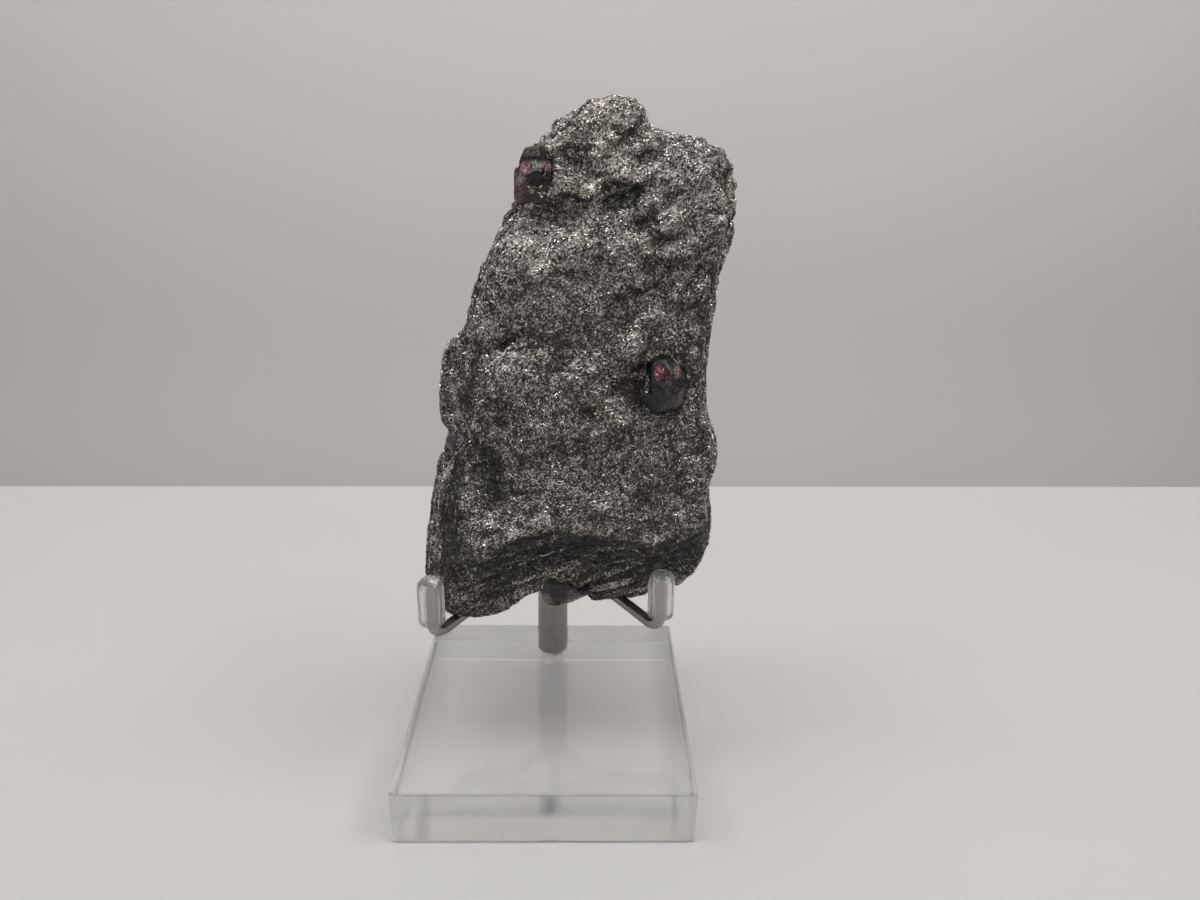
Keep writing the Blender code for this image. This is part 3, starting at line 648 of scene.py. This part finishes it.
def garnet_material():
    """Glassy and nearly black, with the tint of each patch broken up by fractures, and painted white glints,
    stronger where the tint has more red.
    """
    material, tree, shader = new_material("garnet")
    place = object_coordinates(tree)
    upright = object_coordinates(tree, (1, 1, 3))
    tint = attribute(tree, "tint")["Color"]
    # A power of a noise about 0.5, doubled, makes few bright specks and many dark ones.
    fractures = noise_at(tree, place, 0.00050, detail=3, roughness=0.7)
    specks = maths(tree, "POWER", maths(tree, "MULTIPLY", fractures, 2), 4.5)
    colour = vector_maths(tree, "MULTIPLY", tint, specks)
    # Painted glints: white specks, stronger where the tint has more red.
    painted_glints = colour_ramp(
        tree, noise_at(tree, place, 0.00042, roughness=0.6), (0.60, grey(0)), (0.66, grey(1)))
    painted_glint_strength = maths(tree, "MULTIPLY", channel(tree, tint, "Red"), 5)
    uneven = noise_at(tree, place, 0.0016, detail=4)
    feed_named(
        tree, shader,
        Base_Color=mix_colours(tree, maths(tree, "MULTIPLY", painted_glints, painted_glint_strength), colour, PAINTED_GLINT),
        Roughness=colour_ramp(tree, uneven, (0.35, grey(0.14)), (0.7, grey(0.40))),
        IOR=1.65, Specular_IOR_Level=0.34,
        Normal=bumped(
            tree, (noise_at(tree, place, 0.0011, detail=4, roughness=0.6), 0.00022),
            (noise_at(tree, upright, 0.0003), 0.00006)),
    )
    return material


def steel_material():
    """Steel brushed along its height, unevenly grey."""
    material, tree, shader = new_material("brushed_steel")
    lines = noise_at(tree, object_coordinates(tree, (1, 1, 25)), 0.00028, detail=3, roughness=0.7)
    stain = noise_at(tree, object_coordinates(tree), 0.007, detail=3)
    feed_named(
        tree, shader, Metallic=1,
        Base_Color=mix_colours(tree, stain, (0.32, 0.295, 0.27), (0.41, 0.385, 0.36)),
        Roughness=colour_ramp(tree, lines, (0.3, grey(0.26)), (0.7, grey(0.42))),
        Normal=bumped(tree, (lines, 0.00003)),
    )
    return material


def acrylic_material():
    """Clear acrylic with a little haze, polished on top and a little less on its sides."""
    material, tree, shader = new_material("clear_acrylic")
    upwards = new_node(tree, "SeparateXYZ", Vector=coordinates(tree, "Normal")).outputs["Z"]
    sideways = maths(tree, "SUBTRACT", 1, maths(tree, "ABSOLUTE", upwards))
    marks = noise_at(tree, object_coordinates(tree, (1, 1, 5)), 0.004, detail=4, roughness=0.6)
    rougher = maths(tree, "MULTIPLY_ADD", marks, MARKS_ROUGHNESS, SIDE_ROUGHNESS)
    feed_named(
        tree, shader, Base_Color=(1, 0.998, 0.995), IOR=1.49, Transmission_Weight=0.84,
        Roughness=maths(tree, "MULTIPLY_ADD", sideways, rougher, TOP_ROUGHNESS),
    )
    return material


def vinyl_material():
    """Clear soft vinyl, unevenly smooth."""
    material, tree, shader = new_material("clear_vinyl")
    marks = noise_at(tree, object_coordinates(tree), 0.003, detail=4, roughness=0.6)
    feed_named(
        tree, shader, Base_Color=(0.93, 0.93, 0.92), IOR=1.5, Transmission_Weight=0.9,
        Roughness=colour_ramp(tree, marks, (0.40, grey(0.06)), (0.8, grey(0.17))),
    )
    return material


# ---- stone

def stone_skin():
    """(points, quads) of the stone, remeshed finely, with the garnets' sockets closed round them."""
    parts = [arrays_of(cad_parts["matrix"].data)]
    for node in GARNET_WEAR:
        points, triangles = arrays_of(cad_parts[node].data)
        away = points - (points.min(axis=0) + points.max(axis=0)) / 2
        parts.append((points + unit(away) * GARNET_MARGIN, triangles))
    rough = object_from_arrays("rough_stone", *join(parts))
    remesh = rough.modifiers.new("skin", "REMESH")
    remesh.mode = "VOXEL"
    remesh.voxel_size = SKIN_VOXEL
    mesh = bpy.data.meshes.new_from_object(rough.evaluated_get(bpy.context.evaluated_depsgraph_get()))
    bpy.data.objects.remove(rough, do_unlink=True)
    quads = rows_of(mesh.loops, "vertex_index", np.int64, 1).reshape(-1, 4)
    return smoothed(rows_of(mesh.vertices, "co"), quads, SKIN_SMOOTHING), quads


def x_and_height(points):
    """The points' x and height in millimetres."""
    return points[:, 0] / MM, points[:, 2] / MM


def below_ridge(points):
    """How far each point is below the ridge, in millimetres."""
    x, height = x_and_height(points)
    return np.interp(x, *zip(*RIDGE)) - height


def undercut_share(points, normals):
    """1 on the undercut face below the ridge, and 0 away from it and past its left end."""
    share = ramp(1, 7, below_ridge(points)) * ramp(-34, -18, points[:, 0] / MM)
    return share * ramp(0.3, 0.6, -normals[:, 1])


def edge_on_share(points, normals):
    """1 where the skin cuts across the mica layers, and 0 where it lies along them."""
    across = 1 - ramp(*EDGE_ON, np.abs(normals @ LAYER_NORMAL))
    return np.maximum(across, undercut_share(points, normals))


def front_share(normals):
    """1 where the skin faces the front, and 0 on the sides and the back."""
    return ramp(0.25, 0.75, normals @ LAYER_NORMAL)


def layer_lines(points, normals):
    """Fine ridges of the mica layers where the skin cuts across them, in millimetres."""
    wavy = 0.0022 * value_noise(points, 0.024, 5) + 0.0007 * value_noise(points, 0.008, 6)
    across = points @ LAYER_NORMAL + wavy
    slanted = turned(points[:, 0], points[:, 2], UNDERCUT_SLANT)[1] + 0.5 * wavy
    undercut = undercut_share(points, normals)
    elsewhere = edge_on_share(points, normals) - undercut
    total = np.zeros(len(points))
    for share, crossing, fineness in (
        (elsewhere, across, 1), (UNDERCUT_STRENGTH * undercut, slanted, UNDERCUT_FINENESS),
    ):
        places = np.stack([crossing, points[:, 0], points[:, 2]], axis=1)
        for width, length, rise, seed in LAYER_LINES:
            total += share * rise * value_noise(places, (fineness * width, length, length), seed)
    return total


def soft_marks(points, marks):
    """How far the marks of a table rise at each point, all together."""
    x, height = x_and_height(points)
    total = np.zeros(len(points))
    for middle, level, half_length, half_width, turn, rise in marks:
        along, across = turned(x - middle, height - level, math.radians(turn))
        total += rise * np.exp(-(along / half_length) ** 2 - (across / half_width) ** 2)
    return total


def front_marks(points):
    """How far the lumps, the dents and the ridge that the photograph shows move the front, in millimetres."""
    below = below_ridge(points) + RIDGE_WAVER * fractal_noise(points, 0.010, 75)
    swell = SWELL_RISE * np.exp(-((below + 1.6) / SWELL_HALF_WIDTH) ** 2)
    set_back = SET_BACK * ramp(-1, 8, below) * (1 - ramp(9, 20, below))
    ridge = ramp(-26, -8, points[:, 0] / MM) * (swell - set_back)
    return MARKS_STRENGTH * (soft_marks(points, FRONT_MARKS) + ridge)


def relief(points, normals):
    """How far the rock's skin stands out from its smoothed form, in metres."""
    edge_on, front = edge_on_share(points, normals), front_share(normals)
    upper = ramp(*UPPER_PART, points[:, 2])
    warp = np.stack([value_noise(points, WARP_SIZE, 31 + k) for k in range(3)], axis=1)
    x, y, z = (points + WARP_REACH * warp).T
    along, across = turned(x, z, KNOB_LEAN)
    leaning = np.stack([along / KNOB_STRETCH, y, across], axis=1)
    near_ridge = np.exp(-(below_ridge(points) / 5) ** 2) * front
    knob_rise = KNOB_RISE + UPPER_KNOBS * upper + RIDGE_KNOBS * near_ridge
    knobs = knob_rise * knob_noise(leaning, KNOB_SIZE, 40)
    knobs += (SMALL_KNOB_RISE + UPPER_SMALL_KNOBS * upper) * knob_noise(leaning, SMALL_KNOB_SIZE, 44)
    grit = (GRIT_RISE + UPPER_GRIT * upper) * fractal_noise(points, GRIT_SIZE, 50, gain=0.70)
    # Where the layers are cut their lines take the place of most of the knobs.
    rough = knobs * (1 - 0.55 * edge_on) + grit * (1 + (upper - 0.4) * edge_on)
    rough += layer_lines(points, normals)
    rough += front * (1 - 0.3 * upper) * front_marks(points) + soft_marks(points, OUTLINE_MARKS)
    return MM * rough


def tone_and_painted_shading(points, normals):
    """How much paler the rock is than its average, negative where it is darker: paler towards the top,
    painted shade on its undersides, its left side, the undercut and in dents, and painted light on lumps.
    """
    x, height = x_and_height(points)
    below = below_ridge(points) + 3 * fractal_noise(points, 0.008, 77)
    total = TOP_PALER * ramp(120, 160, height) - ALL_DARKER
    # Painted shade on faces that look down, on faces to the left and on the undercut below the ridge.
    total -= UNDERSIDE_PAINTED_SHADE * ramp(0.15, 0.75, -normals[:, 2])
    total -= LEFT_SIDE_PAINTED_SHADE * ramp(0.35, 0.85, -normals[:, 0])
    total -= UNDERCUT_PAINTED_SHADE * ramp(-3, 7, below) * ramp(-34, -10, x)
    # Painted light on lumps and the swell above the ridge, painted shade in dents.
    total += RELIEF_PAINTED_LIGHT * front_share(normals) * front_marks(points)
    # Painted shade in the pits and the hollow, and paler places, from the marks.
    return total + soft_marks(points, PAINTED_SHADING_MARKS)


def show_garnet(node, points, smooth_points, garnet):
    """Draws the skin down into a crystal wherever the crystal shows, and leaves the rock up to its faces."""
    ragged = 0.35 * fractal_noise(smooth_points, 0.0020, 70, 2)
    window = outside_outline(*x_and_height(smooth_points), GARNET_WINDOWS[node]) + ragged
    distance, normals = outside_by(points, garnet)
    covered = (1 - ramp(-0.2, 0.35, window)) * (1 - ramp(*GARNET_REACH, distance))
    return points - normals * (covered * np.maximum(distance + GARNET_TUCK, 0))[:, None]


def clear_of_arms(points):
    """Keeps the skin off the two arms that it lies on."""
    corner = np.array(ARM_CORNER)
    for end in ARM_ENDS:
        line = np.array(end) - corner
        share = np.clip(((points - corner) @ line) / (line @ line), 0, 1)
        nearest = corner + share[:, None] * line
        away = points - nearest
        distance = np.linalg.norm(away, axis=1, keepdims=True)
        need = ROD_RADIUS + ARM_GAP
        points = np.where(distance < need, nearest + away / distance * need, points)
    return points


def make_stone(garnets, material):
    """The schist, in place of the CAD stone. Returns its (points, quads)."""
    smooth_points, quads = stone_skin()
    normals = vertex_normals(smooth_points, quads)
    points = smooth_points + normals * relief(smooth_points, normals)[:, None]
    for node, garnet in garnets.items():
        points = show_garnet(node, points, smooth_points, garnet)
    points = clear_of_arms(points)
    stone = object_from_arrays("schist", points, quads, material)
    paler = stone.data.attributes.new("tone_and_painted_shading", "FLOAT", "POINT")
    paler.data.foreach_set("value", tone_and_painted_shading(points, vertex_normals(points, quads)))
    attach(stone, "root")
    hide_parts("matrix")
    return points, quads


def sampled(points, quads, count, random):
    """(places, normals) of points spread evenly over the skin."""
    triangles = np.concatenate([quads[:, [0, 1, 2]], quads[:, [0, 2, 3]]])
    corners = points[triangles]
    crossed = np.cross(corners[:, 1] - corners[:, 0], corners[:, 2] - corners[:, 0])
    area = np.linalg.norm(crossed, axis=1)
    chosen = np.searchsorted(np.cumsum(area) / area.sum(), random.random(count))
    chosen = np.minimum(chosen, len(triangles) - 1)
    a, b = random.random((2, count, 1))
    a, b = np.where(a + b > 1, 1 - a, a), np.where(a + b > 1, 1 - b, b)
    first, second, third = corners[chosen].transpose(1, 0, 2)
    places = first + a * (second - first) + b * (third - first)
    return places, vertex_normals(points, quads)[triangles[chosen, 0]]


def between(limits, share):
    """The value at this share of the way between the limits."""
    return limits[0] + (limits[1] - limits[0]) * share


def flake_arrays(places, normals, tilt, lift, random):
    """(points, triangles) of thin flakes of four corners on the skin, each tilted its own way."""
    count = len(places)
    edge_on = edge_on_share(places, normals)[:, None]
    side = np.where(random.random((count, 1)) < 0.5, -1, 1)
    facing = normals + FLAKE_EDGE_TILT * edge_on * side * LAYER_NORMAL + tilt * random.normal(size=(count, 3))
    facing = unit(facing + lift * np.array((0, 0, 1)))
    # On the front they run across it in patches, and where the layers are cut they run along these.
    run = FLAKE_RUN + RUN_CHANGE * value_noise(places, RUN_SIZE, 80) + random.normal(0, RUN_SCATTER, count)
    on_front = np.stack([np.cos(run), np.zeros(count), np.sin(run)], axis=1)
    on_edges = np.cross(normals, LAYER_NORMAL) + 0.3 * random.normal(size=(count, 3))
    along = on_front * (1 - edge_on) + edge_on * on_edges
    along = unit(along - (along * facing).sum(axis=1, keepdims=True) * facing)
    sideways = np.cross(facing, along)
    scale = random.random((3, count, 1))
    length, width = between(FLAKE_LENGTH, scale[0] ** 2), between(FLAKE_WIDTH, scale[1])
    thick = between(FLAKE_THICK, scale[2])
    middle = places + normals * random.uniform(*FLAKE_HEIGHT, (count, 1))
    lean = random.uniform(-FLAKE_LEAN, FLAKE_LEAN, (2, count, 1))
    corners = np.stack([
        middle - along * length / 2,
        middle + along * length / 2,
        middle + along * length * lean[0] + sideways * width / 2 + facing * thick,
        middle + along * length * lean[1] - sideways * width / 2 + facing * thick,
    ], axis=1)
    first = 4 * np.arange(count)[:, None, None]
    faces = first + np.array([[0, 2, 1], [0, 1, 3], [0, 3, 2], [1, 2, 3]])
    return corners.reshape(-1, 3), faces.reshape(-1, 3)


def crusted(places, normals):
    """The flakes' places and facings on a crust whose bumps are finer than the skin's mesh."""
    step = 0.0001
    heights = [
        CRUST_HEIGHT * fractal_noise(places + offset, CRUST_SIZE, 98, 2)
        for offset in (np.zeros(3), *(step * np.eye(3)))
    ]
    slope = np.stack([(height - heights[0]) / step for height in heights[1:]], axis=1)
    slope -= (slope * normals).sum(axis=1, keepdims=True) * normals
    return places + normals * np.maximum(heights[0], 0)[:, None], unit(normals - slope)


def make_flakes(points, quads, garnets):
    """The mica that glitters all over the stone, as one joined mesh for each kind of flake, with darker kinds
    laid in the painted shade.
    """
    random = np.random.default_rng(7)
    places, normals = sampled(points, quads, FLAKE_COUNT, random)
    keep = np.ones(len(places), bool)
    for garnet in garnets.values():
        keep &= outside_by(places, garnet)[0] > GARNET_CLEAR
    places, normals = places[keep], normals[keep]
    # How bright a flake is, and so which kind of flake it is, follows the rock's painted light and shade, the
    # layers and the crust, and is partly chance.
    bright = tone_and_painted_shading(places, normals) + 1.5 * layer_lines(places, normals) + random.random(len(places))
    places, normals = crusted(places, normals)
    bright += 0.30 * fractal_noise(places, 0.0065, 90, 2) + 0.36 * fractal_noise(places, 0.0020, 94, 2)
    # Painted light: flakes that face up are made brighter kinds, as if lit from above.
    bright += 0.45 * normals[:, 2]
    shares = np.array_split(np.argsort(bright), len(FLAKE_KINDS))
    for (name, colour, roughness, metallic, tilt, lift), chosen in zip(FLAKE_KINDS, shares):
        material = plain_material(name, colour, roughness, metallic)
        arrays = flake_arrays(places[chosen], normals[chosen], tilt, lift, random)
        piece = object_from_arrays(name, *arrays, material, smooth=False)
        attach(piece, "root")


def bar(start, end, radius):
    """(points, quads) of a square bar between two places."""
    along, = unit((end - start)[None])
    side, = unit(np.cross(along, (0, 1, 0))[None])
    up = np.cross(side, along)
    ring = radius * np.array([side + up, side - up, -side - up, up - side])
    around = [(k, 4 + k, 4 + (k + 1) % 4, (k + 1) % 4) for k in range(4)]
    return np.concatenate([start + ring, end + ring]), np.array([(0, 1, 2, 3), (7, 6, 5, 4), *around])


def make_needle(points):
    """The dark needle, sunk half way into what stands highest under it, and the yellow grain."""
    front = points[points[:, 1] < 0]
    line = MM * np.linspace(*NEEDLE, NEEDLE_PLACES)
    skin = np.array([front[((front[:, [0, 2]] - place) ** 2).sum(axis=1).argmin()] for place in line])
    depth = np.linspace(skin[0, 1], skin[-1, 1], NEEDLE_PLACES)
    depth -= max((depth - skin[:, 1]).max(), 0) * 0.5
    start, end = (np.array((line[k, 0], depth[k] - NEEDLE_RADIUS, line[k, 1])) for k in (0, -1))
    tip = end + YELLOW_LENGTH * (end - start)
    for name, ends, radius, colour in (
        ("needle", (start, end), NEEDLE_RADIUS, NEEDLE_COLOUR),
        ("yellow_grain", (end, tip), YELLOW_THICKNESS * NEEDLE_RADIUS, YELLOW),
    ):
        material = plain_material(name, colour, 0.35)
        piece = object_from_arrays(name, *bar(*ends, radius), material, smooth=False)
        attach(piece, "root")


# ---- garnets

def unit_ball(subdivisions):
    """(directions, triangles) of an icosphere."""
    bm = bmesh.new()
    bmesh.ops.create_icosphere(bm, subdivisions=subdivisions, radius=1)
    mesh = bpy.data.meshes.new("ball")
    bm.to_mesh(mesh)
    bm.free()
    directions, triangles = arrays_of(mesh)
    bpy.data.meshes.remove(mesh)
    return directions, triangles


def crystal(garnet, directions, wear):
    """Points of a crystal with worn edges, growth steps and chips. A lower wear value makes it rounder."""
    centre, blocks = garnet
    radius = np.max([
        ((np.maximum(directions @ normals.T, 0) / reach) ** wear).sum(axis=1) ** (-1 / wear)
        for normals, reach in blocks
    ], axis=0)
    points = centre + directions * radius[:, None]
    size = radius.mean()
    steps = np.floor(GROWTH_STEPS * fractal_noise(points, size * 0.9, 21, 2)) / GROWTH_STEPS
    chips = ramp(0.35, 0.8, fractal_noise(points, size * 0.35, 23))
    inward = STEP_DEPTH * size * (steps + 1) + CHIP_DEPTH * size * chips
    inward += PIT_DEPTH * size * fractal_noise(points, size * 0.12, 25, 2)
    return points - directions * inward[:, None]


def garnet_colours(node, points):
    """The colour at each of a garnet's points: near black and deep red, with its own patches."""
    cloud = ramp(-0.5, 0.9, fractal_noise(points, 0.0028, 27))[:, None]
    colours = np.array(BLACK) * (1 - cloud) + np.array(DEEP_RED) * cloud
    x, height = x_and_height(points)
    ragged = 0.35 * fractal_noise(points, 0.0011, 29)
    for middle, level, half_width, half_height, tint in GARNET_PATCHES.get(node, ()):
        edge = np.hypot((x - middle) / half_width, (height - level) / half_height) + ragged
        share = (1 - ramp(0.75, 1.25, edge))[:, None]
        colours = colours * (1 - share) + np.array(tint) * share
    return colours


def make_garnets(garnets, material):
    """The crystals, in place of the CAD garnets."""
    for node, garnet in garnets.items():
        wear, subdivisions = GARNET_WEAR[node]
        directions, triangles = unit_ball(subdivisions)
        points = crystal(garnet, directions, wear)
        piece = object_from_arrays(node.replace("garnet_", "crystal_"), points, triangles, material)
        colours = np.column_stack([garnet_colours(node, points), np.ones(len(points))])
        layer = piece.data.color_attributes.new("tint", "FLOAT_COLOR", "POINT")
        layer.data.foreach_set("color", np.clip(colours, 0, 1).ravel())
        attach(piece, "root")
        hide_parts(node)


# ---- stage

def make_camera():
    data = bpy.data.cameras.new("camera")
    data.lens = CAMERA_LENS
    data.sensor_width = CAMERA_SENSOR
    data.clip_start = 0.01
    camera = add_object("camera", data)
    turn = Matrix.Rotation(-CAMERA_YAW, 4, "Z") @ Matrix.Rotation(math.pi / 2 - CAMERA_PITCH, 4, "X")
    camera.matrix_world = Matrix.Translation(CAMERA_PLACE) @ turn @ Matrix.Rotation(-CAMERA_ROLL, 4, "Z")
    bpy.context.scene.camera = camera


def stage_material(name, colour, wavelength):
    """Matt, with a colour that is a little uneven."""
    material, tree, shader = new_material(name)
    spots = noise_at(tree, object_coordinates(tree), wavelength, detail=4, roughness=0.65)
    shades = (tuple(share * c for c in colour) for share in (1 - STAGE_UNEVENNESS, 1 + STAGE_UNEVENNESS))
    colour = mix_colours(tree, spots, *shades)
    feed_named(tree, shader, Base_Color=colour, Roughness=0.6, Specular_IOR_Level=0.25)
    return material


def make_stage():
    """A table with a rounded far edge, and a wall behind it."""
    profile = [(TABLE_FRONT, 0)]
    for step in range(ROUNDING_STEPS + 1):
        angle = math.radians(90 * step / ROUNDING_STEPS)
        back, down = math.sin(angle) - 1, math.cos(angle) - 1
        profile.append((TABLE_BACK + TABLE_ROUNDING * back, TABLE_ROUNDING * down))
    profile += [(TABLE_BACK, -TABLE_THICK), (TABLE_FRONT, -TABLE_THICK)]
    points = np.array([(x, y, z) for x in (-TABLE_HALF_WIDTH, TABLE_HALF_WIDTH) for y, z in profile])
    count = len(profile)
    around = [(k, k + 1, count + k + 1, count + k) for k in range(count - 1)]
    table = object_from_arrays("table", points, np.array(around), stage_material("table", TABLE_COLOUR, 0.09))
    table.matrix_world = Matrix.Translation((0, 0, TABLE_TOP)) @ Matrix.Rotation(TABLE_TURN, 4, "Z")
    corners = ((-1, WALL_BOTTOM), (1, WALL_BOTTOM), (1, WALL_TOP), (-1, WALL_TOP))
    points = np.array([(side * WALL_HALF_WIDTH, WALL_BACK, z) for side, z in corners])
    material = stage_material("wall", WALL_COLOUR, 0.2)
    wall = object_from_arrays("wall", points, np.array([(0, 1, 2, 3)]), material, smooth=False)


def area_light(name, place, aim, size, power, colour):
    """A rectangular lamp at a place, turned towards its aim."""
    data = bpy.data.lights.new(name, "AREA")
    data.shape = "RECTANGLE"
    data.size, data.size_y = size
    data.energy = power
    data.color = colour
    light = add_object(name, data)
    light.location = place
    light.rotation_euler = (Vector(aim) - Vector(place)).to_track_quat("-Z", "Y").to_euler()


def make_lights():
    """Two long lamps overhead, one on each side and two for the wall, in a room that is otherwise dim."""
    world = bpy.data.worlds.new("room")
    world.use_nodes = True
    tree = world.node_tree
    height = vector_maths(tree, "DOT_PRODUCT", coordinates(tree, "Generated"), ROOM_LIGHTEST)
    shade = colour_ramp(tree, maths(tree, "MULTIPLY_ADD", height, 0.5, 0.5), *ROOM_SHADES)
    feed_named(tree, tree.nodes["Background"], Color=shade)
    bpy.context.scene.world = world
    for lamp in LAMPS:
        area_light(*lamp)


def set_view():
    """Plain colours, and unfiltered light behind the acrylic, or the table under it would be too dark."""
    bpy.context.scene.view_settings.view_transform = "Standard"
    bpy.context.scene.cycles.blur_glossy = 0


# ---- scene

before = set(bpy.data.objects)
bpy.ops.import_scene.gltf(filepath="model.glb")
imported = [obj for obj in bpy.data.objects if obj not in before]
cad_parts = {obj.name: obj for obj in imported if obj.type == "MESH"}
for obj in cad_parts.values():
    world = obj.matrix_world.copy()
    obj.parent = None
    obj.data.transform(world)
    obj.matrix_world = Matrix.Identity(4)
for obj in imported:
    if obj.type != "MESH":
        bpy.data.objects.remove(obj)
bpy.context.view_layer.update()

make_camera()
make_stage()
make_lights()
set_view()

garnets = {node: blocks_of(node) for node in GARNET_WEAR}
skin = make_stone(garnets, schist_material())
make_flakes(*skin, garnets)
make_needle(skin[0])
make_garnets(garnets, garnet_material())

steel, acrylic, vinyl = steel_material(), acrylic_material(), vinyl_material()
for name, material in (
    ("post", steel), ("arm_left", steel), ("arm_right", steel), ("back_rod", steel),
    ("base", acrylic), ("tip_left", vinyl), ("tip_right", vinyl), ("tip_back", vinyl),
):
    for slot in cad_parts[name].material_slots:
        slot.material = material
